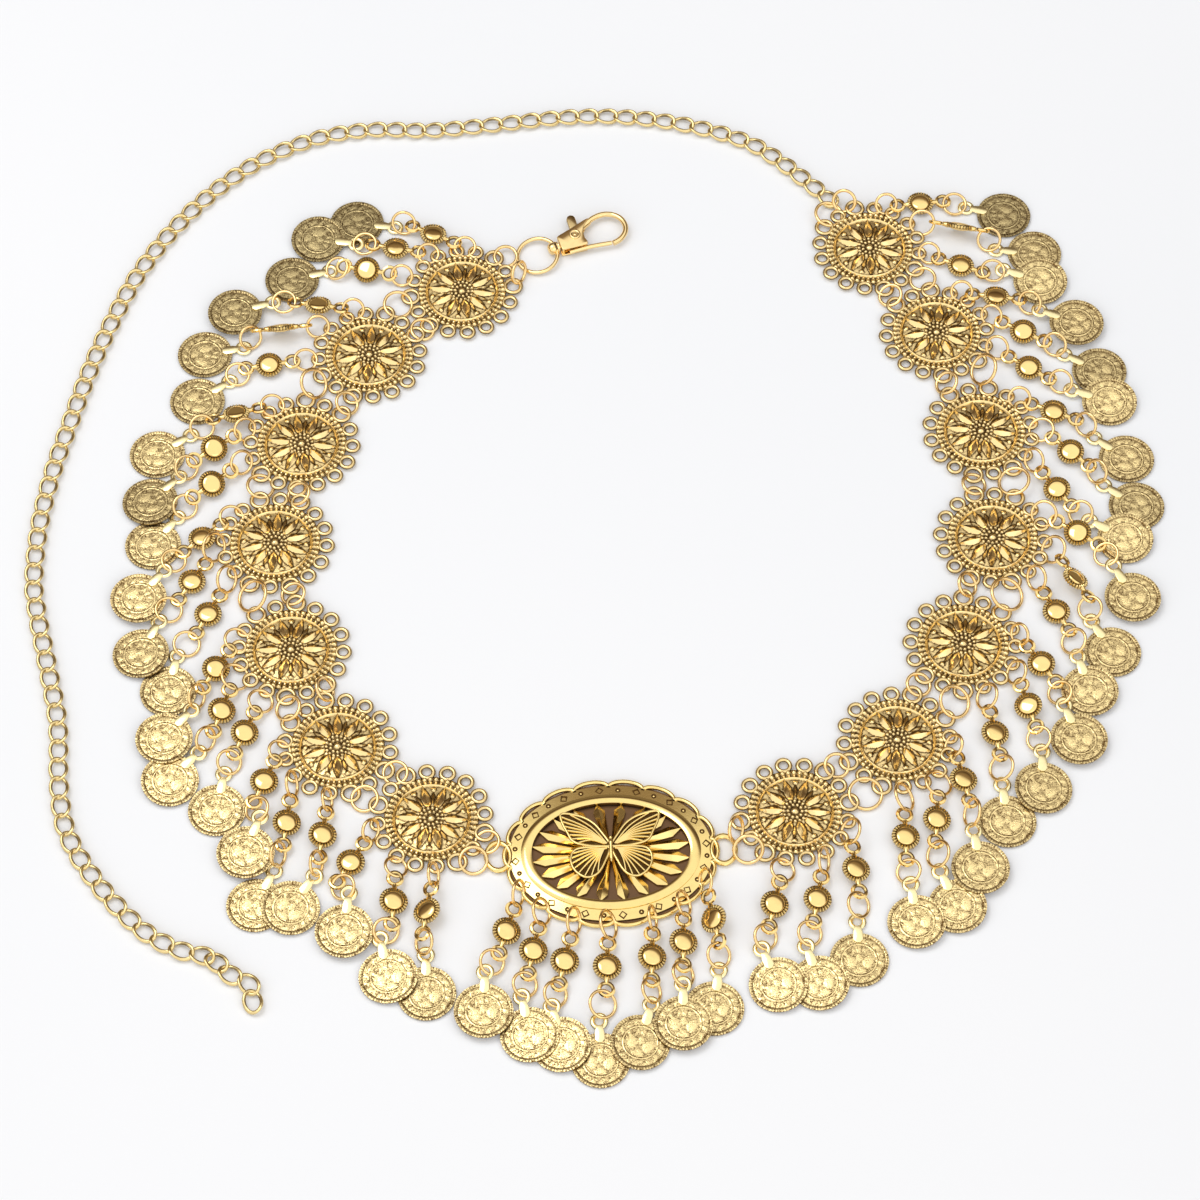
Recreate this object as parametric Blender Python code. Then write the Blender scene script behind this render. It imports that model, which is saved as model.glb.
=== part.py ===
"""Coin belly chain laid flat in a ring: linked rosette medallions, coin drops, centre plate, chain and clasp.

Every piece is cast, stamped or bent from gold-coloured brass. The belt lies on a table at z = 0, seen in the
photograph from PICTURE_ELEVATION above the table, with the camera on the -Y side. Lengths below are millimetres
and are turned into metres when a mesh is placed. Places are read off the 1200 x 1200 photograph and carried to
the table by on_table().
"""
import math

import bpy
import bmesh
from mathutils import Matrix, Vector

MM = 0.001
FLAT_ANGLE = math.radians(0.05)
SHARP_ANGLE = math.radians(30)
WELD = 0.00001
UP = Vector((0, 0, 1))

# The photograph's view of the table, and the heights over it at which places are read.
PICTURE_CENTRE = 600.0
PICTURE_FOCAL = 4200.0
PICTURE_DISTANCE = 1344.0
PICTURE_ELEVATION = math.radians(59.0)
TABLE_ORIGIN = (-0.8, 12.74)
PIECE_HEIGHT = 1.0
PLATE_HEIGHT = 2.0
CLASP_RING_HEIGHT = 1.5
TABLE_GAP = 0.05

# Finishes: base colour and roughness.
ANTIQUE_GOLD = ((0.62, 0.45, 0.20), 0.35)
PLATE_GOLD = ((0.78, 0.58, 0.26), 0.25)
CLASP_GOLD = ((0.86, 0.62, 0.28), 0.15)

# Rosette medallions.
LOOP_COUNT = 16
LOOP_STEP = 2 * math.pi / LOOP_COUNT
LOOP_PLATE = 1.1
DISC_RADIUS = 14.7
DISC_HEIGHT = 2.0
RIM_WIDTH = 3.1
PETAL_COUNT = 10
PETAL_TIP_HEIGHT = 1.45
PETAL_CROWN_HEIGHT = 2.1
LOOP_VALLEY_RADIUS = 15.1
SMALL_LOOP_RADIUS = 2.55
SMALL_LOOP_REACH = 16.6
LINK_LOOP_RADIUS = 3.2
LINK_LOOP_REACH = 17.3
LINK_LOOPS = (3, -3)
SMALL_LOOP_SPREAD = math.radians(40.0)
LINK_LOOP_SPREAD = math.radians(45.0)

# Jump rings between the medallions.
LINK_RING_RADIUS = 3.7
LINK_RING_WIRE = 0.48
LINK_RING_ROOT = 1.8
LINK_RING_HEIGHT = 2.0
CHAIN_RING_HEIGHT = 2.8
PEG_RADIUS = 0.65
PEG_BOTTOM = 0.45
PEG_TOP = 0.15

# Coin drops: root on the loop, upper ring, bead connector, lower ring, tab and coin.
DROP_ROOT_WIDTH = 2.4
DROP_ROOT_THICKNESS = 0.8
DROP_ROOT_HEIGHT = 0.6
DROP_RING_WIDTH = 6.4
DROP_WIRE = 1.0
UPPER_RING_HEIGHT = 1.5
LOWER_RING_HEIGHT = 1.9
LOWER_RING_RISE = 0.6
BEAD_WIDTH = 8.8
BEAD_THICKNESS = 3.0
BEAD_END_WIDTH = 3.344
BEAD_END_THICKNESS = 1.2
BEAD_LOOP_REACH = 8.4
BEAD_CLEARANCE = 0.15
TIP_SIDE = Vector((0.3, -1.0, 0.0))
COIN_DIAMETER = 18.0
COIN_THICKNESS = 1.0
OCTAGON_SIDE = math.tan(math.pi / 8)
COIN_HEIGHT = 0.62
COIN_LEAN = math.radians(5.2)
COIN_LIFT = 0.85
EYELET_REACH = 13.3
EYELET_RISE = 0.6
TAB_WIDTH = 2.8
TAB_THICKNESS = 0.9
TAB_FOOT = 1.0
TAB_RISE = 0.1

# Centre plate.
PLATE_PICTURE = (611.0, 853.0)
SCALLOP_COUNT = 18
SCALLOP_HALF_LENGTH = 33.0
SCALLOP_HALF_WIDTH = 25.2
SCALLOP_DEPTH = 1.5
SCALLOP_SHOULDER = 0.22
PLATE_WALL = 1.3
OPENING_HALF_LENGTH = 24.0
OPENING_HALF_WIDTH = 16.2
HUB_HALF_LENGTH = 8.0
HUB_HALF_WIDTH = 5.6
SPOKE_COUNT = 20
SPOKE_SHARE = 0.46
PLATE_RISE = 3.4
PLATE_TURN = math.radians(2.0)
LUG_REACH = 33.8
LUG_HALF_HEIGHT = 5.0
LUG_STRETCH = 0.8
LUG_WIRE = 0.65
LUG_RING_SHIFT = Vector((0.0, 1.6, 0.0))
LUG_RING_STEP = Vector((0.4, 0.0, 0.0))
HANGER_REACH = 2.2
BUTTERFLY_GAP = 0.6
BUTTERFLY_SHIFT = 1.2
BUTTERFLY_THICKNESS = 1.0

# Curb extender chain.
LINK_LENGTH = 8.6
LINK_WIDTH = 6.5
LINK_WIRE = 1.05
LINK_COUNT = 88
LINK_PITCH = 6.62
LINK_WAIST = 2.3
LINK_THICKNESS = 1.9
LINK_GAP_HALF_LENGTH = 2.3
LINK_GAP_HALF_WIDTH = 2.1
LINK_TWIST = 0.075
LINK_HEIGHT = 1.2
LINK_SEAM = 0.35
STRETCH_COUNT = 9
END_LINKS = 5
ROUTE_STEPS = 12

# Clasp, in its own frame: along its axis from the wire of its ring, and across to the left of the axis.
CLASP_RING_PICTURE = (537.5, 255.5)
CLASP_RING_RADIUS = 6.8
CLASP_RING_WIRE = 0.7
CLASP_RING_GRIP = -1.8
CLASP_AXIS = math.radians(24.0)
CLASP_HEIGHT = 2.25
STUD_RADIUS = 1.85
STUD_START = -2.6
STUD_END = 1.0
SHANK_RADIUS = 0.75
SHANK_START = 0.6
SHANK_END = 3.3
SHANK_SIDES = 6
SHANK_HOLE_RADIUS = 1.1
SHANK_HOLE_REACH = 1.0
SHANK_HEAD_RADIUS = 0.95
SHANK_HEAD_SIDES = 7
BASE_START = 1.4
BASE_END = 2.5
BASE_HALF_WIDTH = 2.5
BASE_SHIFT = 0.35
BASE_GRIP = 0.3
HEAD_START = 2.85
HEAD_END = 3.5
CHEEK_WALL = 0.75
CHEEK_GAP = 1.35
RIVET_PLACE = (7.4, 1.0)
RIVET_RADIUS = 0.85
RIVET_HOLE_RADIUS = 1.2
RIVET_HEAD_RADIUS = 1.95
RIVET_HEAD_HEIGHT = 0.5
RIVET_HEAD_GRIP = 0.2
RIVET_SIDES = 8
HOOK_WIRE = 0.95
NOSE_ROOT_GRIP = 0.35
GATE_HALF_THICKNESS = 0.95

CLASP_LINKS = (
    # loop of the first medallion, where its ring grips the clasp's ring in degrees
    (-3, 178.0),
    (-5, 232.0),
)

CHEEK_OUTLINE = (
    # along, across
    (1.4, -2.3), (1.4, 3.0), (7.0, 4.2), (13.2, 5.2), (11.2, 1.5), (10.4, -3.3),
)

NOSE_ROOT = (
    # along, across
    (12.1, 4.25), (13.1, 4.7),
)

HOOK_ROUTE = (
    # along, across
    (12.2, 4.3), (14.0, 5.1), (17.4, 6.2), (21.0, 5.8), (24.0, 3.6), (25.2, 0.3), (24.5, -3.0), (22.0, -5.3),
    (18.9, -6.1),
)

GATE_OUTLINE = (
    # along, across
    (5.6, 1.2), (6.4, 2.9), (7.4, 3.6), (8.6, 8.6), (9.6, 9.5), (10.9, 8.8), (10.0, 3.6), (9.6, 0.2), (11.3, -3.3),
    (17.6, -5.1), (17.6, -6.3), (10.9, -4.9), (8.4, -1.2), (6.2, -0.4),
)

BUTTERFLY_OUTLINE = (
    # across to the right, up from the body's middle
    (0.0, 2.2), (1.6, 4.0), (5.5, 8.0), (10.5, 10.9), (14.4, 11.3), (14.2, 8.2), (11.2, 2.6), (9.0, 0.4),
    (11.6, -2.6), (11.4, -7.0), (8.2, -10.2), (4.4, -11.0), (1.6, -6.8), (0.9, -7.4), (0.0, -8.0),
)

MEDALLIONS = (
    # name, picture x, picture y, way that the coins point in degrees
    ("L1", 462.0, 291.8, 119.8),
    ("L2", 369.3, 355.2, 140.8),
    ("L3", 301.7, 444.3, 155.1),
    ("L4", 275.2, 543.1, 176.6),
    ("L5", 291.1, 649.9, 199.6),
    ("L6", 337.6, 746.9, 218.1),
    ("L7", 431.5, 819.0, 231.2),
    ("R7", 795.0, 811.9, 303.7),
    ("R6", 897.2, 740.3, 319.3),
    ("R5", 963.2, 644.2, 334.8),
    ("R4", 992.7, 537.9, 355.2),
    ("R3", 980.9, 431.6, 11.7),
    ("R2", 936.5, 332.8, 27.1),
    ("R1", 869.4, 248.4, 37.5),
)

DROPS = (
    # carrier, loop, bead x, bead y, eyelet x, eyelet y, coin x, coin y, bead tip in degrees, coin it lies over
    ("L1", -2, 433.5, 236.5, 391.4, 226.3, 357.0, 223.0, -8, 0),
    ("L1", 0, 395.9, 250.2, 351.0, 244.0, 318.2, 240.0, -5, -1),
    ("L1", 2, 367.1, 273.7, 327.7, 271.0, 292.1, 279.3, 22, 0),
    ("L2", -2, 318.6, 308.6, 272.0, 305.0, 235.4, 314.5, -19, 2),
    ("L2", 0, 281.8, 334.0, 241.4, 348.0, 205.0, 354.2, -52, 0),
    ("L2", 2, 269.4, 366.7, 228.6, 381.4, 197.4, 401.0, 5, 0),
    ("L3", -2, 236.7, 417.1, 191.2, 434.5, 157.3, 454.1, -20, 0),
    ("L3", 0, 214.5, 452.0, 182.0, 475.5, 150.4, 502.6, 22, 1),
    ("L3", 2, 212.2, 487.5, 179.0, 515.1, 153.0, 545.0, 22, 0),
    ("L4", -2, 202.2, 540.0, 166.5, 570.5, 138.8, 600.4, -5, 2),
    ("L4", 0, 192.2, 582.7, 160.6, 619.8, 141.0, 654.4, 0, 1),
    ("L4", 2, 208.2, 615.3, 178.0, 652.4, 168.3, 690.7, 0, 0),
    ("L5", -2, 216.2, 671.0, 191.0, 712.9, 164.4, 740.4, 10, 2),
    ("L5", 0, 222.0, 712.9, 199.2, 752.7, 170.0, 781.0, 12, -1),
    ("L5", 2, 244.9, 735.1, 224.5, 770.8, 216.9, 809.8, 12, 0),
    ("L6", -2, 264.3, 783.0, 260.2, 818.8, 245.9, 854.4, 5, 2),
    ("L6", 0, 286.9, 824.7, 276.1, 866.5, 255.5, 905.0, 10, 0),
    ("L6", 2, 322.7, 836.9, 314.5, 876.7, 290.6, 908.6, 10, -1),
    ("L7", -2, 350.7, 863.4, 349.2, 893.5, 344.4, 933.0, 0, 2),
    ("L7", 0, 393.7, 903.3, 380.4, 940.4, 388.2, 977.0, 12, 1),
    ("L7", 2, 427.1, 914.3, 425.7, 952.7, 426.5, 993.0, -25, 0),
    ("plate", 0, 506.6, 933.6, 485.3, 971.8, 483.6, 1012.7, 15, 2),
    ("plate", 1, 533.3, 952.4, 521.6, 996.3, 530.0, 1035.5, 8, 1),
    ("plate", 2, 564.7, 962.9, 551.8, 1006.5, 561.5, 1045.2, 8, 1),
    ("plate", 3, 607.1, 968.2, 599.0, 1016.1, 600.6, 1060.0, 8, 0),
    ("plate", 4, 652.0, 959.0, 651.6, 1003.9, 640.4, 1043.1, 12, -1),
    ("plate", 5, 683.3, 944.3, 682.9, 982.0, 683.6, 1025.0, 14, 2),
    ("plate", 6, 713.5, 923.3, 719.0, 967.8, 714.5, 1008.0, -37, 0),
    ("R7", -2, 774.3, 906.5, 760.8, 947.3, 778.5, 985.4, 12, 1),
    ("R7", 0, 817.3, 901.0, 805.3, 944.9, 820.0, 983.7, 10, 1),
    ("R7", 2, 855.7, 871.4, 857.1, 917.3, 859.4, 959.5, 14, 0),
    ("R6", -2, 905.3, 838.6, 910.4, 882.5, 916.8, 922.5, 8, 1),
    ("R6", 0, 936.5, 821.2, 938.6, 869.2, 957.5, 907.0, 10, 1),
    ("R6", 2, 963.1, 781.6, 972.2, 826.5, 980.2, 869.5, 12, 2),
    ("R5", -2, 994.7, 735.1, 1001.8, 780.6, 1007.5, 821.0, 10, 0),
    ("R5", 0, 1027.8, 708.4, 1041.6, 750.6, 1043.3, 788.6, -15, -1),
    ("R5", 2, 1041.0, 665.3, 1061.8, 702.7, 1078.6, 741.0, 5, 2),
    ("R4", -2, 1056.1, 612.4, 1076.5, 653.7, 1089.8, 691.5, 0, 1),
    ("R4", 0, 1074.5, 582.9, 1089.8, 618.0, 1112.8, 651.5, -32, 0),
    ("R4", 2, 1077.1, 535.3, 1112.2, 565.9, 1132.3, 599.3, 12, 2),
    ("R3", -2, 1056.5, 491.2, 1091.2, 522.4, 1125.2, 539.1, 8, 1),
    ("R3", 0, 1070.2, 453.7, 1105.5, 485.7, 1136.6, 505.6, 8, 0),
    ("R3", 2, 1053.5, 412.7, 1094.3, 437.1, 1126.5, 458.4, 0, 0),
    ("R2", -2, 1028.4, 369.4, 1072.9, 391.2, 1109.3, 402.3, 5, 1),
    ("R2", 0, 1022.9, 333.7, 1065.7, 354.5, 1099.4, 370.5, 8, 0),
    ("R2", 2, 995.7, 298.8, 1040.2, 312.7, 1076.1, 324.7, -8, 2),
    ("R1", -2, 960.6, 266.7, 1003.5, 270.8, 1040.1, 281.6, 0, 1),
    ("R1", 0, 958.6, 232.7, 996.3, 249.4, 1034.4, 253.0, -52, 0),
    ("R1", 2, 920.0, 204.6, 967.8, 207.6, 1003.7, 214.8, 0, 0),
)

PLATE_HANGERS = (
    # picture x, picture y of the edge scallops that carry the plate's coins
    (518.2, 886.5),
    (540.7, 904.7),
    (575.1, 915.9),
    (608.7, 918.7),
    (655.7, 913.1),
    (688.0, 896.3),
    (707.0, 873.8),
)

CHAIN_ROUTE = (
    # picture x, picture y of places along the chain, from the last medallion to the free end
    (828, 199), (815, 188.5), (773, 157), (739, 139.6), (683, 125), (624, 117.7), (566, 118), (489, 126), (430, 131),
    (371, 130.6), (316, 139.4), (261, 161.4), (214, 192.4), (173, 230.8), (139, 274), (113, 320.7),
    (90, 370.6), (71, 421.5), (53, 472.2), (39.5, 526.4), (34, 579.6), (37.3, 614.3), (48.2, 670),
    (57.9, 725), (59.2, 789), (68.4, 837), (98.7, 885.4), (138.8, 927.6), (172.7, 948), (201, 955.6),
    (217, 957.2), (217, 968), (234.9, 977.3), (253.4, 988), (252.8, 1002),
)


def on_table(picture_x, picture_y, height=PIECE_HEIGHT):
    """The place, in millimetres, that a pixel of the photograph shows at a height over the table."""
    across = (picture_x - PICTURE_CENTRE) / PICTURE_FOCAL
    down = (picture_y - PICTURE_CENTRE) / PICTURE_FOCAL
    sine = math.sin(PICTURE_ELEVATION)
    cosine = math.cos(PICTURE_ELEVATION)
    reach = (PICTURE_DISTANCE * sine - height) / (sine + down * cosine)
    x = reach * across
    y = reach * (cosine - down * sine) - PICTURE_DISTANCE * cosine
    return Vector((x - TABLE_ORIGIN[0], y - TABLE_ORIGIN[1], height))


def around(angle, radius, height=0.0):
    return Vector((radius * math.cos(angle), radius * math.sin(angle), height))


def unit(vector):
    flat = Vector((vector.x, vector.y, 0.0))
    return flat.normalized()


def clear_scene():
    for old in list(bpy.data.objects):
        bpy.data.objects.remove(old, do_unlink=True)


def make_collection(name):
    group = bpy.data.collections.new(name)
    bpy.context.scene.collection.children.link(group)
    return group


def make_material(name, colour, roughness):
    material = bpy.data.materials.new(name)
    material.use_nodes = True
    shader = material.node_tree.nodes["Principled BSDF"]
    shader.inputs["Base Color"].default_value = (*colour, 1.0)
    shader.inputs["Metallic"].default_value = 1.0
    shader.inputs["Roughness"].default_value = roughness
    return material


def object_from(name, shape, group):
    """Turn a bmesh into an object, with flat faces that point out."""
    bmesh.ops.triangulate(shape, faces=shape.faces)
    bmesh.ops.recalc_face_normals(shape, faces=shape.faces)
    mesh = bpy.data.meshes.new(name)
    shape.to_mesh(mesh)
    shape.free()
    piece = bpy.data.objects.new(name, mesh)
    group.objects.link(piece)
    return piece


def scaled_to_metres(shape):
    bmesh.ops.scale(shape, vec=(MM, MM, MM), verts=shape.verts)
    return shape


def wire_ring(radius, wire, steps=6, sides=3, stretch=1.0, twist=0.0):
    """A closed ring of wire about the origin, drawn out along X and twisted like a curb link."""
    shape = bmesh.new()
    section = bmesh.ops.create_circle(shape, segments=sides, radius=wire)["verts"]
    bmesh.ops.rotate(shape, verts=section, cent=(0, 0, 0), matrix=Matrix.Rotation(math.pi / 2, 3, "X"))
    bmesh.ops.translate(shape, verts=section, vec=(radius, 0, 0))
    bmesh.ops.spin(shape, geom=shape.verts[:] + shape.edges[:], cent=(0, 0, 0), axis=(0, 0, 1),
                   angle=2 * math.pi, steps=steps, use_merge=True)
    bmesh.ops.scale(shape, vec=(stretch, 1.0, 1.0), verts=shape.verts)
    for corner in shape.verts:
        corner.co.z += twist * corner.co.x * corner.co.y
    return shape


def put(shape, centre, heading, pitch=0.0):
    """Turn a shape nose up by a pitch and round to a heading, move it to its centre, and go to metres."""
    turned = Matrix.Rotation(heading, 4, "Z") @ Matrix.Rotation(-pitch, 4, "Y")
    bmesh.ops.transform(shape, matrix=Matrix.Translation(centre) @ turned, verts=shape.verts)
    return scaled_to_metres(shape)


def link_ring(near, far, height):
    """A jump ring that stands on the loop that carries it and reaches over the middle of another loop."""
    way = unit(far - near)
    half = max((far - near).xy.length - LINK_RING_ROOT, LINK_RING_RADIUS) / 2
    middle = Vector((far.x, far.y, height)) - way * half
    ring = put(wire_ring(LINK_RING_RADIUS, LINK_RING_WIRE, stretch=half / LINK_RING_RADIUS), middle,
               math.atan2(way.y, way.x))
    peg = bmesh.new()
    bmesh.ops.create_cone(peg, cap_ends=True, segments=4, radius1=PEG_RADIUS, radius2=PEG_RADIUS,
                          depth=height + PEG_TOP - PEG_BOTTOM)
    foot = Vector((middle.x, middle.y, (height + PEG_TOP + PEG_BOTTOM) / 2)) - way * half
    return [ring, put(peg, foot, math.atan2(way.y, way.x))]


def outline_plate(name, outline, holes, thickness, group):
    """A flat plate from a closed outline with holes, lying on z = 0."""
    curve = bpy.data.curves.new(name, "CURVE")
    curve.dimensions = "2D"
    curve.fill_mode = "BOTH"
    curve.extrude = thickness * MM / 2
    for loop in [outline] + holes:
        spline = curve.splines.new("POLY")
        spline.points.add(len(loop) - 1)
        spline.use_cyclic_u = True
        for point, place in zip(spline.points, loop):
            point.co = (place.x * MM, place.y * MM, 0.0, 1.0)
    piece = bpy.data.objects.new(name, curve)
    group.objects.link(piece)
    bpy.context.view_layer.update()
    evaluated = piece.evaluated_get(bpy.context.evaluated_depsgraph_get())
    mesh = bpy.data.meshes.new_from_object(evaluated)
    bpy.data.objects.remove(piece, do_unlink=True)
    shape = bmesh.new()
    shape.from_mesh(mesh)
    bmesh.ops.remove_doubles(shape, verts=shape.verts, dist=WELD)
    bmesh.ops.translate(shape, verts=shape.verts, vec=(0, 0, thickness * MM / 2))
    bpy.data.meshes.remove(mesh)
    return shape


def fuse(name, shapes, group, guides, finish):
    """Join overlapping shapes into one closed solid with a material of its own."""
    base = object_from(name, shapes[0], group)
    for number, shape in enumerate(shapes[1:]):
        other = object_from(name + "_joined_" + str(number), shape, guides)
        join = base.modifiers.new("join", "BOOLEAN")
        join.operation = "UNION"
        join.object = other
        join.use_self = True
    bpy.context.view_layer.update()
    evaluated = base.evaluated_get(bpy.context.evaluated_depsgraph_get())
    joined = bpy.data.meshes.new_from_object(evaluated)
    base.modifiers.clear()
    shape = bmesh.new()
    shape.from_mesh(joined)
    bmesh.ops.dissolve_limit(shape, angle_limit=FLAT_ANGLE, verts=shape.verts, edges=shape.edges)
    bmesh.ops.triangulate(shape, faces=shape.faces)
    shape.to_mesh(joined)
    shape.free()
    base.data = joined
    for other in list(guides.objects):
        bpy.data.objects.remove(other, do_unlink=True)
    joined.materials.clear()
    joined.materials.append(make_material(name, *finish))
    joined.shade_smooth()
    joined.set_sharp_from_angle(angle=SHARP_ANGLE)
    return base


def set_origin(piece, frame):
    """Give a piece its place and turn as an object, and keep its mesh in that frame."""
    piece.data.transform(frame.inverted())
    piece.matrix_world = frame


def origin_at(place):
    return Matrix.Translation(Vector((place.x, place.y, 0.0)) * MM)


def medallion_place(name):
    """A medallion's centre on the table, and the way that its coins point."""
    row = [row for row in MEDALLIONS if row[0] == name][0]
    centre = on_table(row[1], row[2])
    return Vector((centre.x, centre.y, 0.0)), math.radians(row[3])


def loop_place(centre, out, loop):
    reach = LINK_LOOP_REACH if loop in LINK_LOOPS else SMALL_LOOP_REACH
    return centre + around(out + loop * LOOP_STEP, reach)


def rosette_outline(centre, out):
    """The scalloped edge of a medallion: a lobe for each loop, wider where the belt is linked."""
    outline = []
    for number in range(LOOP_COUNT):
        loop = number if number <= LOOP_COUNT // 2 else number - LOOP_COUNT
        angle = out + loop * LOOP_STEP
        middle = loop_place(centre, out, loop)
        radius = LINK_LOOP_RADIUS if loop in LINK_LOOPS else SMALL_LOOP_RADIUS
        spread = LINK_LOOP_SPREAD if loop in LINK_LOOPS else SMALL_LOOP_SPREAD
        outline.append(centre + around(angle - LOOP_STEP / 2, LOOP_VALLEY_RADIUS))
        outline += [middle + around(angle + turn, radius) for turn in (-spread, spread)]
    return outline


def rosette_disc(centre, out):
    """The medallion's disc: a raised rim round ten petals that rise to the middle."""
    shape = bmesh.new()
    bmesh.ops.create_circle(shape, cap_ends=True, segments=PETAL_COUNT, radius=DISC_RADIUS)
    grown = bmesh.ops.extrude_face_region(shape, geom=shape.faces[:])
    top = [item for item in grown["geom"] if isinstance(item, bmesh.types.BMFace)][0]
    bmesh.ops.translate(shape, verts=top.verts, vec=(0, 0, DISC_HEIGHT - LOOP_PLATE / 2))
    bmesh.ops.inset_region(shape, faces=[top], thickness=RIM_WIDTH, use_even_offset=True)
    for corner in top.verts:
        corner.co.z = PETAL_TIP_HEIGHT - LOOP_PLATE / 2
    crown = bmesh.ops.poke(shape, faces=[top])["verts"][0]
    crown.co.z = PETAL_CROWN_HEIGHT - LOOP_PLATE / 2
    place = Matrix.Translation((centre.x, centre.y, LOOP_PLATE / 2)) @ Matrix.Rotation(out, 4, "Z")
    bmesh.ops.transform(shape, matrix=place, verts=shape.verts)
    return scaled_to_metres(shape)


def strip(sections):
    """A bar through flat rectangular sections: place, direction across, direction up, width and thickness."""
    shape = bmesh.new()
    rings = []
    for place, across, up, width, thickness in sections:
        side = across * (width / 2)
        rise = up * (thickness / 2)
        corners = (place - side - rise, place + side - rise, place + side + rise, place - side + rise)
        rings.append([shape.verts.new(corner) for corner in corners])
    for near, far in zip(rings, rings[1:]):
        for number in range(4):
            following = (number + 1) % 4
            shape.faces.new((near[number], near[following], far[following], far[number]))
    shape.faces.new(rings[0])
    shape.faces.new(rings[-1])
    return scaled_to_metres(shape)


def coin_frame(places, number, over):
    """How a coin leans: its up direction, and how far it is lifted where it lies over its neighbours."""
    if over == 0:
        return UP, 0.0
    if over == 2:
        return UP, 2 * COIN_LIFT
    toward = unit(places[number + over] - places[number])
    return UP * math.cos(COIN_LEAN) - toward * math.sin(COIN_LEAN), COIN_LIFT


def bead_sections(bead, way, tip):
    """The bead connector's three sections, tipped about its own line, and the places of its two end loops."""
    side = way.cross(UP)
    tip_side = side if side.dot(TIP_SIDE) > 0 else -side
    bead_up = UP * math.cos(tip) + tip_side * math.sin(tip)
    across = way.cross(bead_up)
    bead.z = BEAD_CLEARANCE + BEAD_WIDTH / 2 * abs(math.sin(tip)) + BEAD_THICKNESS / 2 * math.cos(tip)
    sections = []
    for along, width, thickness in ((-1, BEAD_END_WIDTH, BEAD_END_THICKNESS), (0, BEAD_WIDTH, BEAD_THICKNESS),
                                    (1, BEAD_END_WIDTH, BEAD_END_THICKNESS)):
        sections.append((bead + way * along * BEAD_WIDTH / 2, across, bead_up, width, thickness))
    return sections, bead - way * BEAD_LOOP_REACH, bead + way * BEAD_LOOP_REACH


def drop_shape(anchor, row, places, number):
    """One coin drop: ring, bead connector, ring, and coin with its tab."""
    bead = on_table(row[2], row[3])
    beads, head, toe = bead_sections(bead, unit(bead - anchor), math.radians(row[8]))
    coin_up, lift = coin_frame(places, number, row[9])
    coin_way = unit(on_table(row[4], row[5]) - places[number])
    coin_way = (coin_way - coin_up * coin_way.dot(coin_up)).normalized()
    coin_across = coin_up.cross(coin_way)
    coin = Vector((places[number].x, places[number].y, COIN_HEIGHT + lift))
    eyelet = coin + coin_way * EYELET_REACH + coin_up * EYELET_RISE
    ring_one = (anchor + head) / 2
    ring_one.z = UPPER_RING_HEIGHT
    ring_two = (toe + eyelet) / 2
    ring_two.z = max(LOWER_RING_HEIGHT, eyelet.z + LOWER_RING_RISE)
    anchor_across = unit(head - anchor).cross(UP)
    root = Vector((anchor.x, anchor.y, DROP_ROOT_HEIGHT))
    half = COIN_DIAMETER / 2
    flat = COIN_DIAMETER * OCTAGON_SIDE
    tab = coin + coin_way * (half + TAB_FOOT) + coin_up * TAB_RISE
    sections = [
        (root, anchor_across, UP, DROP_ROOT_WIDTH, DROP_ROOT_THICKNESS),
        (ring_one, anchor_across, UP, DROP_RING_WIDTH, DROP_WIRE),
        *beads,
        (ring_two, unit(eyelet - toe).cross(UP), UP, DROP_RING_WIDTH, DROP_WIRE),
        (tab, coin_across, coin_up, TAB_WIDTH, TAB_THICKNESS),
    ]
    for along, width in ((half, flat), (flat / 2, COIN_DIAMETER), (-flat / 2, COIN_DIAMETER), (-half, flat)):
        sections.append((coin + coin_way * along, coin_across, coin_up, width, COIN_THICKNESS))
    return strip(sections)


def coin_places():
    return [on_table(row[6], row[7]) for row in DROPS]


def add_medallions(group, guides, finish):
    places = coin_places()
    names = [row[0] for row in MEDALLIONS]
    for name, following in zip(names, names[1:] + [None]):
        centre, out = medallion_place(name)
        shapes = [outline_plate("rosette", rosette_outline(centre, out), [], LOOP_PLATE, group)]
        shapes.append(rosette_disc(centre, out))
        for number, row in enumerate(DROPS):
            if row[0] == name:
                shapes.append(drop_shape(loop_place(centre, out, row[1]), row, places, number))
        height = LINK_RING_HEIGHT if following else CHAIN_RING_HEIGHT
        for near_loop, far in link_targets(name, following):
            shapes += link_ring(loop_place(centre, out, near_loop), far, height)
        set_origin(fuse("medallion_" + name, shapes, group, guides, finish), origin_at(centre))


def link_targets(name, following):
    """Where a medallion's two link rings reach: the next medallion's loops, the plate's lug or the chain."""
    if following is None:
        first, way = chain_places()[0]
        end = first - way * (LINK_LENGTH / 2 - 2 * LINK_WIRE)
        return [(3, end), (5, end)]
    if name == "L7":
        lug = plate_lug(-1)
        return [(3, lug - LUG_RING_SHIFT), (5, lug + LUG_RING_SHIFT + LUG_RING_STEP)]
    centre, out = medallion_place(following)
    return [(3, loop_place(centre, out, -3)), (5, loop_place(centre, out, -5))]


def plate_centre():
    return on_table(*PLATE_PICTURE, PLATE_HEIGHT)


def plate_lug(side):
    """The far end of the opening in one of the plate's end lugs."""
    reach = LUG_REACH + LUG_STRETCH * LUG_HALF_HEIGHT - 2 * LUG_WIRE
    centre = plate_centre()
    return Vector((centre.x, centre.y, 0.0)) + around(PLATE_TURN, side * reach)


def plate_rise(x, y):
    """How far the plate is domed up over a place in its own frame."""
    share = (x / SCALLOP_HALF_LENGTH) ** 2 + (y / SCALLOP_HALF_WIDTH) ** 2
    return PLATE_RISE * max(0.0, 1.0 - share)


def oval(half_length, half_width, angle):
    return Vector((half_length * math.cos(angle), half_width * math.sin(angle), 0.0))


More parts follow.
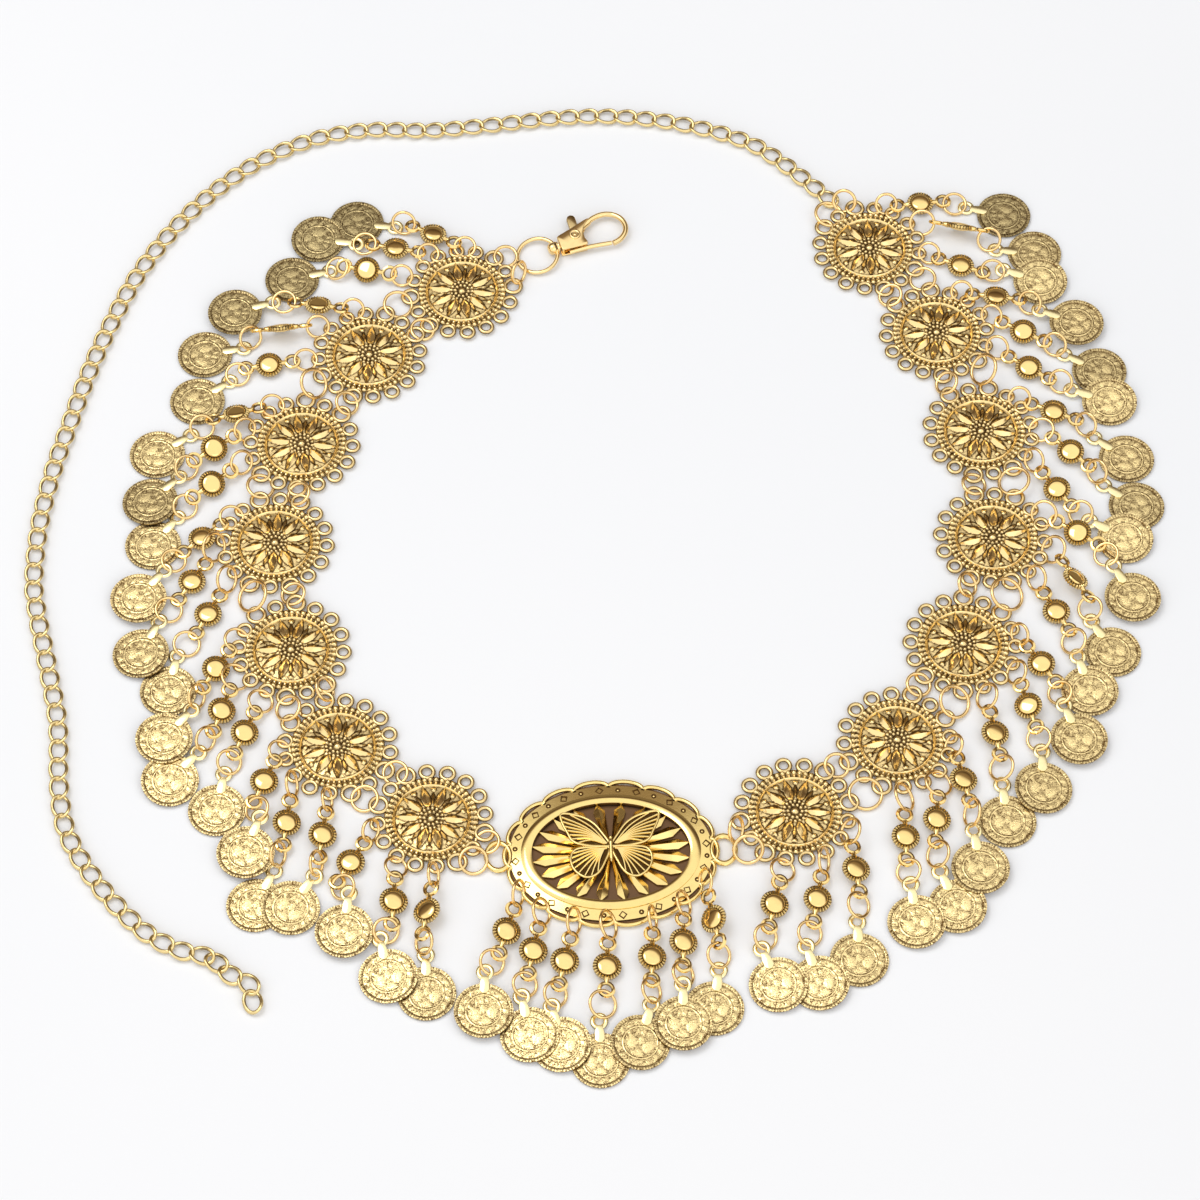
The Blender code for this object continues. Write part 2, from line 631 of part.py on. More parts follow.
def dome(shape):
    """Bend a flat piece of the plate up into its dome, in metres."""
    bmesh.ops.triangulate(shape, faces=shape.faces)
    for corner in shape.verts:
        corner.co.z += plate_rise(corner.co.x / MM, corner.co.y / MM) * MM


def place_plate(shape, height=0.0):
    centre = plate_centre()
    turn = Matrix.Rotation(PLATE_TURN, 4, "Z")
    move = Matrix.Translation(Vector((centre.x, centre.y, height)) * MM)
    bmesh.ops.transform(shape, matrix=move @ turn, verts=shape.verts)
    return shape


def add_centre_plate(group, guides, finish):
    step = 2 * math.pi / SCALLOP_COUNT
    edge = []
    for number in range(SCALLOP_COUNT):
        angle = number * step
        edge.append(oval(SCALLOP_HALF_LENGTH - SCALLOP_DEPTH, SCALLOP_HALF_WIDTH - SCALLOP_DEPTH, angle - step / 2))
        for side in (-1, 1):
            edge.append(oval(SCALLOP_HALF_LENGTH, SCALLOP_HALF_WIDTH, angle + side * SCALLOP_SHOULDER * step))
    gaps = []
    half = math.pi / SPOKE_COUNT * (1 - SPOKE_SHARE)
    for number in range(SPOKE_COUNT):
        angle = 2 * math.pi * number / SPOKE_COUNT
        outer = [oval(OPENING_HALF_LENGTH, OPENING_HALF_WIDTH, angle + side * half) for side in (-1, 1)]
        inner = [oval(HUB_HALF_LENGTH, HUB_HALF_WIDTH, angle + side * half) for side in (1, -1)]
        gaps.append(outer + inner)
    body = outline_plate("body", edge, gaps, PLATE_WALL, group)
    dome(body)
    shapes = [place_plate(body)]
    for side in (-1, 1):
        middle = plate_centre() + around(PLATE_TURN, side * LUG_REACH)
        middle.z = LUG_WIRE + TABLE_GAP
        shapes.append(put(wire_ring(LUG_HALF_HEIGHT, LUG_WIRE, 8, 4, LUG_STRETCH), middle, PLATE_TURN))
    for loop, side in ((-5, 1), (-3, -1)):
        far = loop_place(*medallion_place("R7"), loop)
        shapes += link_ring(plate_lug(1) + LUG_RING_SHIFT * side, far, LINK_RING_HEIGHT)
    places = coin_places()
    for number, row in enumerate(DROPS):
        if row[0] == "plate":
            hanger = on_table(*PLATE_HANGERS[row[1]])
            inward = unit(plate_centre() - hanger)
            shapes.append(drop_shape(hanger + inward * HANGER_REACH, row, places, number))
    set_origin(fuse("centre_plate", shapes, group, guides, finish), origin_at(plate_centre()))


def add_butterfly(group, guides, finish):
    right = [Vector((x, y, 0.0)) for x, y in BUTTERFLY_OUTLINE]
    left = [Vector((-place.x, place.y, 0.0)) for place in reversed(right[1:-1])]
    shape = outline_plate("butterfly", right + left, [], BUTTERFLY_THICKNESS, group)
    bmesh.ops.translate(shape, verts=shape.verts, vec=(0, BUTTERFLY_SHIFT * MM, 0))
    dome(shape)
    place_plate(shape, PLATE_WALL + BUTTERFLY_GAP)
    set_origin(fuse("butterfly", [shape], group, guides, finish), origin_at(plate_centre()))


def chain_places():
    """Centres and headings of the chain's links, evenly spaced along a smooth curve through the route."""
    points = [on_table(x, y) for x, y in CHAIN_ROUTE]
    fine = []
    for number in range(len(points) - 1):
        before = points[max(number - 1, 0)]
        start, end = points[number], points[number + 1]
        after = points[min(number + 2, len(points) - 1)]
        for step in range(ROUTE_STEPS):
            t = step / ROUTE_STEPS
            fine.append(0.5 * (2 * start + (end - before) * t + (2 * before - 5 * start + 4 * end - after) * t ** 2
                               + (3 * start - before - 3 * end + after) * t ** 3))
    fine.append(points[-1])
    reach = [0.0]
    for near, far in zip(fine, fine[1:]):
        reach.append(reach[-1] + (far - near).length)
    places = []
    for link in range(LINK_COUNT):
        wanted = reach[-1] * link / (LINK_COUNT - 1)
        number = max(index for index, value in enumerate(reach[:-1]) if value <= wanted)
        share = (wanted - reach[number]) / (reach[number + 1] - reach[number])
        places.append((fine[number].lerp(fine[number + 1], share), unit(fine[number + 1] - fine[number])))
    return places


def chain_ladder(places, group):
    """A stretch of curb chain: the links' scalloped edge, with the opening of each link cut through."""
    half = LINK_PITCH / 2 - LINK_SEAM / 2
    flats = [(Vector((centre.x, centre.y, 0.0)), way) for centre, way in places]
    first, first_way = flats[0]
    last, last_way = flats[-1]
    edge = [(first - first_way * half, first_way, LINK_WAIST)]
    holes = []
    for number, (middle, way) in enumerate(flats):
        if number > 0:
            edge.append(((middle + flats[number - 1][0]) / 2, way, LINK_WAIST))
        edge.append((middle, way, LINK_WIDTH / 2))
        side = Vector((-way.y, way.x, 0.0))
        corners = ((-1, -1), (1, -1), (1, 1), (-1, 1))
        holes.append([middle + way * LINK_GAP_HALF_LENGTH * x + side * LINK_GAP_HALF_WIDTH * y for x, y in corners])
    edge.append((last + last_way * half, last_way, LINK_WAIST))
    right = [place + Vector((way.y, -way.x, 0.0)) * reach for place, way, reach in edge]
    left = [place - Vector((way.y, -way.x, 0.0)) * reach for place, way, reach in reversed(edge)]
    shape = outline_plate("stretch", right + left, holes, LINK_THICKNESS, group)
    bmesh.ops.translate(shape, verts=shape.verts, vec=(0, 0, TABLE_GAP * MM))
    return shape


def add_chain(group, guides, finish):
    """The extender chain in stretches. The last one ends in the folded links of the free end."""
    places = chain_places()
    laid = LINK_COUNT - END_LINKS
    half_width = (LINK_WIDTH - LINK_WIRE) / 2
    stretch = (LINK_LENGTH - LINK_WIRE) / 2 / half_width
    for number in range(STRETCH_COUNT):
        start = laid * number // STRETCH_COUNT
        end = laid * (number + 1) // STRETCH_COUNT
        shapes = [chain_ladder(places[start:end], group)]
        if number == STRETCH_COUNT - 1:
            for centre, way in places[laid:]:
                link = wire_ring(half_width, LINK_WIRE / 2, 6, 3, stretch, LINK_TWIST)
                place = Vector((centre.x, centre.y, LINK_HEIGHT))
                shapes.append(put(link, place, math.atan2(way.y, way.x)))
        stretch_piece = fuse("chain_stretch_%02d" % (number + 1), shapes, group, guides, finish)
        set_origin(stretch_piece, origin_at(places[start][0]))


def clasp_ring_centre():
    return on_table(*CLASP_RING_PICTURE, CLASP_RING_HEIGHT)


def clasp_frame():
    """From the clasp's own frame, in metres, to the world."""
    wire = clasp_ring_centre() + around(CLASP_AXIS, CLASP_RING_RADIUS)
    place = Vector((wire.x, wire.y, CLASP_HEIGHT)) * MM
    return Matrix.Translation(place) @ Matrix.Rotation(CLASP_AXIS, 4, "Z")


def clasp_bar(radius, start, end, sides=8):
    """A round bar along the clasp's axis."""
    shape = bmesh.new()
    bmesh.ops.create_cone(shape, cap_ends=True, segments=sides, radius1=radius, radius2=radius, depth=end - start)
    place = Matrix.Translation(((start + end) / 2, 0, 0)) @ Matrix.Rotation(math.pi / 2, 4, "Y")
    bmesh.ops.transform(shape, matrix=place, verts=shape.verts)
    return scaled_to_metres(shape)


def rivet_bar(radius, low, high):
    """A round bar through the clasp's rivet hole."""
    shape = bmesh.new()
    bmesh.ops.create_cone(shape, cap_ends=True, segments=RIVET_SIDES, radius1=radius, radius2=radius,
                          depth=high - low)
    bmesh.ops.translate(shape, verts=shape.verts, vec=(*RIVET_PLACE, (low + high) / 2))
    return scaled_to_metres(shape)


def clasp_base():
    """The block between the cheeks that turns on the stud's shank."""
    shape = bmesh.new()
    bmesh.ops.create_cube(shape, size=1.0)
    size = (BASE_END - BASE_START, 2 * BASE_HALF_WIDTH, 2 * (CHEEK_GAP + BASE_GRIP))
    bmesh.ops.scale(shape, vec=size, verts=shape.verts)
    bmesh.ops.translate(shape, verts=shape.verts, vec=((BASE_START + BASE_END) / 2, BASE_SHIFT, 0.0))
    return scaled_to_metres(shape)


def cut(piece, cutter):
    """Take a cutter away from a piece, and the cutter out of the scene."""
    take = piece.modifiers.new("cut", "BOOLEAN")
    take.operation = "DIFFERENCE"
    take.object = cutter
    bpy.context.view_layer.update()
    evaluated = piece.evaluated_get(bpy.context.evaluated_depsgraph_get())
    mesh = bpy.data.meshes.new_from_object(evaluated)
    piece.modifiers.clear()
    piece.data = mesh
    bpy.data.objects.remove(cutter, do_unlink=True)


def wire_tube(name, route, radius, group):
    """A bent wire through places in the clasp's frame, as a closed mesh."""
    curve = bpy.data.curves.new(name, "CURVE")
    curve.dimensions = "3D"
    curve.bevel_depth = radius * MM
    curve.bevel_resolution = 1
    curve.use_fill_caps = True
    spline = curve.splines.new("POLY")
    spline.points.add(len(route) - 1)
    for point, (along, across) in zip(spline.points, route):
        point.co = (along * MM, across * MM, 0.0, 1.0)
    piece = bpy.data.objects.new(name, curve)
    group.objects.link(piece)
    bpy.context.view_layer.update()
    evaluated = piece.evaluated_get(bpy.context.evaluated_depsgraph_get())
    mesh = bpy.data.meshes.new_from_object(evaluated)
    bpy.data.objects.remove(piece, do_unlink=True)
    shape = bmesh.new()
    shape.from_mesh(mesh)
    bmesh.ops.remove_doubles(shape, verts=shape.verts, dist=WELD)
    bpy.data.meshes.remove(mesh)
    return shape


def add_clasp_ring(group, guides, finish):
    """The clasp's large ring, its swivel stud, and the two rings that hold it to the first medallion."""
    centre = clasp_ring_centre()
    rise = CLASP_HEIGHT - CLASP_RING_WIRE - TABLE_GAP
    pitch = math.asin(rise / (2 * CLASP_RING_RADIUS))
    middle = Vector((centre.x, centre.y, CLASP_HEIGHT - rise / 2))
    shapes = [put(wire_ring(CLASP_RING_RADIUS, CLASP_RING_WIRE, 12, 4), middle, CLASP_AXIS, pitch)]
    for bar in (clasp_bar(STUD_RADIUS, STUD_START, STUD_END),
                clasp_bar(SHANK_RADIUS, SHANK_START, SHANK_END, SHANK_SIDES),
                clasp_bar(SHANK_HEAD_RADIUS, HEAD_START, HEAD_END, SHANK_HEAD_SIDES)):
        bmesh.ops.transform(bar, matrix=clasp_frame(), verts=bar.verts)
        shapes.append(bar)
    for loop, turn in CLASP_LINKS:
        near = centre + around(math.radians(turn), CLASP_RING_RADIUS + CLASP_RING_GRIP)
        shapes += link_ring(near, loop_place(*medallion_place("L1"), loop), LINK_RING_HEIGHT)
    set_origin(fuse("clasp_ring", shapes, group, guides, finish), origin_at(centre))


def add_clasp_hook(group, guides, finish):
    """The hook: two cheeks on a base that turns on the stud's shank, a rivet, and the bent wire nose."""
    outline = [Vector((along, across, 0.0)) for along, across in CHEEK_OUTLINE]
    shapes = []
    for low in (CHEEK_GAP, -CHEEK_GAP - CHEEK_WALL):
        cheek = outline_plate("cheek", outline, [], CHEEK_WALL, group)
        bmesh.ops.translate(cheek, verts=cheek.verts, vec=(0, 0, low * MM))
        shapes.append(cheek)
    reach = CHEEK_GAP + CHEEK_WALL
    shapes.append(clasp_base())
    shapes.append(wire_tube("nose", HOOK_ROUTE, HOOK_WIRE, group))
    shapes.append(wire_tube("nose_root", NOSE_ROOT, CHEEK_GAP + NOSE_ROOT_GRIP, group))
    shapes.append(rivet_bar(RIVET_RADIUS, -reach, reach))
    shapes.append(rivet_bar(RIVET_HEAD_RADIUS, CHEEK_GAP + RIVET_HEAD_GRIP, reach + RIVET_HEAD_HEIGHT))
    hook = fuse("clasp_hook", shapes, group, guides, finish)
    bore = clasp_bar(SHANK_HOLE_RADIUS, BASE_START - SHANK_HOLE_REACH, BASE_END + SHANK_HOLE_REACH)
    cut(hook, object_from("shank_hole", bore, guides))
    hook.matrix_world = clasp_frame()


def add_clasp_gate(group, guides, finish):
    """The sprung gate with its thumb lever, turning on the rivet between the cheeks."""
    outline = [Vector((along, across, 0.0)) for along, across in GATE_OUTLINE]
    middle = Vector((*RIVET_PLACE, 0.0))
    hole = [middle + around(2 * math.pi * number / 8, RIVET_HOLE_RADIUS) for number in range(8)]
    shape = outline_plate("gate", outline, [hole], 2 * GATE_HALF_THICKNESS, group)
    bmesh.ops.translate(shape, verts=shape.verts, vec=(0, 0, -GATE_HALF_THICKNESS * MM))
    gate = fuse("clasp_gate", [shape], group, guides, finish)
    rivet = Matrix.Translation(middle * MM)
    gate.data.transform(rivet.inverted())
    gate.matrix_world = clasp_frame() @ rivet


def build():
    clear_scene()
    chain = make_collection("coin_belly_chain")
    helpers = make_collection("join_helpers")
    add_medallions(chain, helpers, ANTIQUE_GOLD)
    add_centre_plate(chain, helpers, PLATE_GOLD)
    add_butterfly(chain, helpers, ANTIQUE_GOLD)
    add_chain(chain, helpers, ANTIQUE_GOLD)
    add_clasp_ring(chain, helpers, CLASP_GOLD)
    add_clasp_hook(chain, helpers, CLASP_GOLD)
    add_clasp_gate(chain, helpers, CLASP_GOLD)


if __name__ == "__main__":
    build()
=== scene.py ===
import math
import random

import bmesh
import bpy
from mathutils import Matrix, Vector


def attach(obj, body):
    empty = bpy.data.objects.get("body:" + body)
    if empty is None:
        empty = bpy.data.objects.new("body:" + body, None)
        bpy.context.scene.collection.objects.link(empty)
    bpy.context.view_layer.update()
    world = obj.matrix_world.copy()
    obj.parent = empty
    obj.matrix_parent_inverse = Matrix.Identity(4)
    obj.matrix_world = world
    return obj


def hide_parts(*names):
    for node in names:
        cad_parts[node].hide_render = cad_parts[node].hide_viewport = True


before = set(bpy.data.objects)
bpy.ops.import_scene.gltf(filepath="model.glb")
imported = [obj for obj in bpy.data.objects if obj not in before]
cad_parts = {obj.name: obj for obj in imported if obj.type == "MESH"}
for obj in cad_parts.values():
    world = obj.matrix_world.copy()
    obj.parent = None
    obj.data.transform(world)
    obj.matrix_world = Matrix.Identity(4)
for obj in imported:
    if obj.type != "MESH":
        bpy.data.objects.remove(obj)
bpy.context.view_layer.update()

# The belt lies on a white table and is seen from the front, 59 degrees above it, through a long lens.
# A wide soft box hangs overhead and the far side of the studio is dark, so polished gold shows a bright
# half and a brown half. Places are read off the photograph in pixels and carried to the table.
MM = 0.001
PICTURE_CENTRE = 600.0
PICTURE_FOCAL = 4200.0
PICTURE_WIDTH = 1200.0
PICTURE_DISTANCE = 1344.0
PICTURE_ELEVATION = math.radians(59.0)
TABLE_ORIGIN = (-0.8, 12.74)
SENSOR_WIDTH = 36.0
TABLE_SIZE = 16.0

camera_data = bpy.data.cameras.new("camera")
camera_data.sensor_width = SENSOR_WIDTH
camera_data.lens = PICTURE_FOCAL / PICTURE_WIDTH * SENSOR_WIDTH
camera = bpy.data.objects.new("camera", camera_data)
bpy.context.scene.collection.objects.link(camera)
looked_at = Vector((-TABLE_ORIGIN[0], -TABLE_ORIGIN[1], 0.0)) * MM
back_off = Vector((0.0, -math.cos(PICTURE_ELEVATION), math.sin(PICTURE_ELEVATION)))
camera.location = looked_at + back_off * PICTURE_DISTANCE * MM
camera.rotation_euler = (math.pi / 2 - PICTURE_ELEVATION, 0.0, 0.0)
bpy.context.scene.camera = camera
bpy.context.scene.view_settings.view_transform = "Standard"

table_shape = bmesh.new()
bmesh.ops.create_grid(table_shape, x_segments=1, y_segments=1, size=TABLE_SIZE / 2)
table_mesh = bpy.data.meshes.new("table_top")
table_shape.to_mesh(table_mesh)
table_shape.free()
table = bpy.data.objects.new("table_top", table_mesh)
bpy.context.scene.collection.objects.link(table)
table.location.z = -0.0002
table_white = bpy.data.materials.new("table_white")
table_white.use_nodes = True
paper = table_white.node_tree.nodes["Principled BSDF"]
paper.inputs["Roughness"].default_value = 0.7
paper.inputs["Specular IOR Level"].default_value = 0.2
place_node = table_white.node_tree.nodes.new("ShaderNodeTexCoord")
mottle = table_white.node_tree.nodes.new("ShaderNodeTexNoise")
mottle.inputs["Scale"].default_value = 2.2
mottle.inputs["Detail"].default_value = 1.0
whites = table_white.node_tree.nodes.new("ShaderNodeValToRGB")
whites.color_ramp.elements[0].position = 0.35
whites.color_ramp.elements[0].color = (0.83, 0.845, 0.87, 1.0)
whites.color_ramp.elements[1].position = 0.65
whites.color_ramp.elements[1].color = (0.86, 0.87, 0.89, 1.0)
table_white.node_tree.links.new(place_node.outputs["Object"], mottle.inputs["Vector"])
table_white.node_tree.links.new(mottle.outputs["Fac"], whites.inputs["Fac"])
table_white.node_tree.links.new(whites.outputs["Color"], paper.inputs["Base Color"])
table.data.materials.append(table_white)

# The studio round the table: bright overhead and towards the viewer, dark and warm low on the far side. Two
# soft boxes add gentle shadows, a strong one at the back left and a weak one in front on the right.
studio = bpy.data.worlds.new("studio")
bpy.context.scene.world = studio
studio.use_nodes = True
studio_nodes = studio.node_tree.nodes
studio_links = studio.node_tree.links
studio_way = studio_nodes.new("ShaderNodeTexCoord")
studio_lean = studio_nodes.new("ShaderNodeVectorMath")
studio_lean.operation = "DOT_PRODUCT"
studio_lean.inputs[1].default_value = (-0.08, -0.47, 0.88)
studio_ramp = studio_nodes.new("ShaderNodeValToRGB")
studio_tones = studio_ramp.color_ramp
studio_tones.elements[0].position = 0.0
studio_tones.elements[0].color = (0.20, 0.16, 0.12, 1.0)
studio_tones.elements[1].position = 1.0
studio_tones.elements[1].color = (1.0, 1.0, 1.0, 1.0)
for place, tone in ((0.12, (0.07, 0.045, 0.03)), (0.335, (0.26, 0.20, 0.15)), (0.42, (0.86, 0.85, 0.83)),
                    (0.55, (1.0, 1.0, 1.0))):
    studio_tones.elements.new(place).color = (*tone, 1.0)
studio_links.new(studio_way.outputs["Generated"], studio_lean.inputs[0])
studio_links.new(studio_lean.outputs["Value"], studio_ramp.inputs["Fac"])
studio_links.new(studio_ramp.outputs["Color"], studio_nodes["Background"].inputs["Color"])
studio_nodes["Background"].inputs["Strength"].default_value = 1.19
for light_name, light_place, light_size, light_power in (
        ("soft_box", (-0.45, 0.2, 1.2), 0.6, 3.2), ("front_fill", (0.5, -1.0, 0.9), 0.8, 0.8)):
    lamp_data = bpy.data.lights.new(light_name, "AREA")
    lamp_data.size = light_size
    lamp_data.energy = light_power
    lamp = bpy.data.objects.new(light_name, lamp_data)
    lamp.location = light_place
    lamp.rotation_euler = (-Vector(light_place)).to_track_quat("-Z", "Y").to_euler()
    bpy.context.scene.collection.objects.link(lamp)


# Fourteen cast rosette medallions. Each is one casting of gold-plated brass alloy: a disc with a beaded
# border, ten ridged petals round a beaded boss, and sixteen round loops on its edge, four of them larger
# for the rings that link the belt. The plate is left brown in the hollows and rubbed bright on the tops.
MEDALLIONS = (
    # name, picture x, picture y, way that the coins point in degrees
    ("L1", 462.0, 291.8, 119.8),
    ("L2", 369.3, 355.2, 140.8),
    ("L3", 301.7, 444.3, 155.1),
    ("L4", 275.2, 543.1, 176.6),
    ("L5", 291.1, 649.9, 199.6),
    ("L6", 337.6, 746.9, 218.1),
    ("L7", 431.5, 819.0, 231.2),
    ("R7", 795.0, 811.9, 303.7),
    ("R6", 897.2, 740.3, 319.3),
    ("R5", 963.2, 644.2, 334.8),
    ("R4", 992.7, 537.9, 355.2),
    ("R3", 980.9, 431.6, 11.7),
    ("R2", 936.5, 332.8, 27.1),
    ("R1", 869.4, 248.4, 37.5),
)
PIECE_HEIGHT = 1.0
ROSE_RADIUS = 14.7
ROSE_RINGS = (0.03, 0.06, 0.085, 0.105, 0.125, 0.145, 0.165, 0.185, 0.205, 0.225, 0.245, 0.265, 0.285, 0.305,
              0.325, 0.345, 0.37, 0.40, 0.43, 0.46, 0.49, 0.52, 0.55, 0.58, 0.61, 0.635, 0.66, 0.685, 0.71,
              0.735, 0.757, 0.775, 0.79, 0.80, 0.81, 0.825, 0.84, 0.86, 0.885, 0.905, 0.92, 0.937, 0.955,
              0.975, 0.99, 1.0)
ROSE_STEPS = 240
ROSE_FOOT = 0.25
ROSE_FLOOR = 1.05
ROSE_CENTRE = 0.275
PETALS_END = 0.77
LINE_MIDDLE = 0.80
LINE_END = 0.84
BORDER_MIDDLE = 0.945
BORDER_BEADS = 48
PETALS = 10
LOOP_STEP = math.radians(22.5)
LARGE_LOOPS = (3, 5, -5, -3)
LOOP_HEIGHT = 1.15
SMALL_LOOP = (16.6, 2.1, 0.71)  # reach from the centre, radius, half the wire's thickness
LARGE_LOOP = (17.2, 2.68, 0.71)
AGED_GOLD = (0.97, 0.73, 0.34)
# Brown for the patina in the hollows, also used for painted shade on walls and undersides.
PATINA_AND_SHADE = (0.075, 0.038, 0.01)
BLOTCH_SCALE = 420.0
GRAIN_SCALE = 2600.0
SMOOTH_ANGLE = math.radians(50)


def on_table(picture_x, picture_y, height=PIECE_HEIGHT):
    """The place, in millimetres, that a pixel of the photograph shows at a height over the table."""
    across = (picture_x - PICTURE_CENTRE) / PICTURE_FOCAL
    down = (picture_y - PICTURE_CENTRE) / PICTURE_FOCAL
    sine = math.sin(PICTURE_ELEVATION)
    cosine = math.cos(PICTURE_ELEVATION)
    reach = (PICTURE_DISTANCE * sine - height) / (sine + down * cosine)
    x = reach * across
    y = reach * (cosine - down * sine) - PICTURE_DISTANCE * cosine
    return Vector((x - TABLE_ORIGIN[0], y - TABLE_ORIGIN[1], height))


def around(angle, radius, height=0.0):
    return Vector((radius * math.cos(angle), radius * math.sin(angle), height))


def flat_way(vector):
    return Vector((vector.x, vector.y, 0.0)).normalized()


def spun(profile, steps, angle=2 * math.pi):
    """A turned shape: (radius, height) places taken round the Z axis."""
    shape = bmesh.new()
    corners = [shape.verts.new((radius, 0.0, height)) for radius, height in profile]
    for one, two in zip(corners, corners[1:]):
        shape.edges.new((one, two))
    bmesh.ops.spin(shape, geom=shape.verts[:] + shape.edges[:], cent=(0, 0, 0), axis=(0, 0, 1), angle=angle,
                   steps=steps, use_merge=True)
    bmesh.ops.remove_doubles(shape, verts=shape.verts, dist=0.002)
    bmesh.ops.recalc_face_normals(shape, faces=shape.faces)
    return shape


def wire_loop(radius, wire, steps=20, sides=8, flat=1.0):
    """A ring of round or flattened wire about the Z axis."""
    turns = [2 * math.pi * number / sides for number in range(sides)]
    section = [(radius + wire * math.cos(turn), flat * wire * math.sin(turn)) for turn in turns]
    return spun(section + [section[0]], steps)


def stamp(piece, shape, place):
    """Add a copy of a shape to a piece, at its place."""
    start = len(piece.verts)
    copy = bpy.data.meshes.new("copy")
    shape.to_mesh(copy)
    piece.from_mesh(copy)
    bpy.data.meshes.remove(copy)
    piece.verts.ensure_lookup_table()
    bmesh.ops.transform(piece, matrix=place, verts=piece.verts[start:])


def shade(shape, amount):
    """Say how much brown a shape holds, as patina and as painted shade: a number, or a rule on its corners.
    """
    layer = shape.verts.layers.float.get("patina_and_shade") or shape.verts.layers.float.new("patina_and_shade")
    for corner in shape.verts:
        corner[layer] = amount(corner.co) if callable(amount) else amount
    return shape


def set_tone(shape, tone):
    """Say how bright a shape is beside its neighbours."""
    layer = shape.verts.layers.float.get("tone") or shape.verts.layers.float.new("tone")
    for corner in shape.verts:
        corner[layer] = tone
    return shape


def add_part(piece, shape, place, patina_and_shade=0.0, tone=1.0):
    """Mark a shape's patina and painted shade, and its tone, and add it to a piece."""
    stamp(piece, set_tone(shade(shape, patina_and_shade), tone), place)


def new_piece():
    piece = bmesh.new()
    piece.verts.layers.float.new("patina_and_shade")
    piece.verts.layers.float.new("tone")
    piece.verts.layers.float_vector.new("own")
    return piece


def keep_own(shape):
    """Keep each corner's place on its own part, in millimetres, for the fine lines of the finish."""
    layer = shape.verts.layers.float_vector.new("own")
    for corner in shape.verts:
        corner[layer] = corner.co


def ball_row(radius, angle, row_radius, count, size, turn=0.0):
    """How high a row of round beads stands at a place, from 0 to 1."""
    share = ((angle - turn) * count / (2 * math.pi)) % 1.0 - 0.5
    along = share * 2 * math.pi * row_radius / count
    far = math.hypot(along, radius - row_radius) / size
    return math.sqrt(max(0.0, 1.0 - far * far))


def ridge(distance, reach):
    share = min(1.0, abs(distance) / reach)
    return (1.0 - share * share) ** 2


def leaf_at(radius, angle, turn, start, end, half_width):
    """A folded leaf: its height, 1 on its crease and 0 outside, and how far in millimetres its outline is."""
    share = ((angle - turn) * PETALS / (2 * math.pi)) % 1.0 - 0.5
    turned = share * 2 * math.pi / PETALS
    along = (radius * math.cos(turned) / ROSE_RADIUS - start) / (end - start)
    if not 0.0 < along < 1.0:
        return 0.0, 9.0
    width = half_width * math.sin(math.pi * along ** 0.75) + 0.02
    across = abs(radius * math.sin(turned))
    return max(0.0, 1.0 - across / width), across - width


def rosette_relief(radius, angle):
    """Height over the floor of the casting, and patina, at a place on a medallion."""
    share = radius / ROSE_RADIUS
    if share < ROSE_CENTRE:
        beads = max(ball_row(radius, angle, 0.15 * ROSE_RADIUS, 10, 0.60),
                    ball_row(radius, angle, 0.24 * ROSE_RADIUS, 16, 0.60))
        boss = math.sqrt(max(0.0, 1.0 - (share / 0.085) ** 2))
        top = max(beads, 1.2 * boss)
        return 0.65 + 0.50 * top, 0.95 - 1.05 * min(1.0, top)
    if share < PETALS_END:
        domed = 0.55 * (1.0 - (share / LINE_MIDDLE) ** 2)
        leaf, off_leaf = leaf_at(radius, angle, 0.0, 0.25, 0.775, 1.42)
        small, off_small = leaf_at(radius, angle, math.pi / PETALS, 0.36, 0.62, 0.62)
        dot = ball_row(radius, angle, 0.69 * ROSE_RADIUS, PETALS, 0.66, math.pi / PETALS)
        ringed = ball_row(radius, angle, 0.69 * ROSE_RADIUS, PETALS, 1.1, math.pi / PETALS)
        tone = 0.22
        for off in (off_leaf, off_small):
            tone = max(tone, 1.3 * ridge(off - 0.14, 0.42))
        tone = max(tone, 0.8 * ridge(share - 0.765, 0.022), 0.8 * (1.0 - share / 0.34))
        if leaf > 0.0 and off_leaf < -0.14:
            tone = -0.6
        if ringed > 0.0:
            tone = 0.9 if dot < 0.3 else -0.6
        return domed + max(1.05 * leaf, 0.6 * small, 0.5 * dot), tone
    if share < LINE_END:
        line = ridge(share - LINE_MIDDLE, 0.036)
        return 0.2 + 0.65 * line, 0.85 - 1.5 * min(1.0, 2.2 * line)
    beads = ball_row(radius, angle, BORDER_MIDDLE * ROSE_RADIUS, BORDER_BEADS, 0.86)
    spread = abs((angle * BORDER_BEADS / (2 * math.pi)) % 1.0 - 0.5)
    bar = max(0.0, 1.0 - abs(share - 0.862) / 0.05) * max(0.0, 1.0 - spread / 0.33)
    top = max(beads, min(1.0, 2.2 * bar))
    return 0.1 + 0.7 * top, 0.92 - min(0.92, 1.3 * top)


def relief_disc(radius, rings, steps, low, floor, relief):
    """A cast or stamped disc whose upper face follows a relief."""
    profile = [(0.0, floor)] + [(radius * share, floor) for share in rings]
    profile += [(radius, (low + floor) / 2), (radius - 0.15, low), (0.0, low)]
    shape = spun(profile, steps)
    patina_and_shade = shape.verts.layers.float.new("patina_and_shade")
    for corner in shape.verts:
        # Corners below the floor, on the disc's edge and underside, are painted half dark as shade under the
        # disc.
        if corner.co.z < floor - 0.001:
            corner[patina_and_shade] = 0.5
            continue
        place = corner.co
        height, tone = relief(math.hypot(place.x, place.y), math.atan2(place.y, place.x))
        corner.co.z = floor + height
        corner[patina_and_shade] = min(1.0, max(-1.0, tone))
    return shape


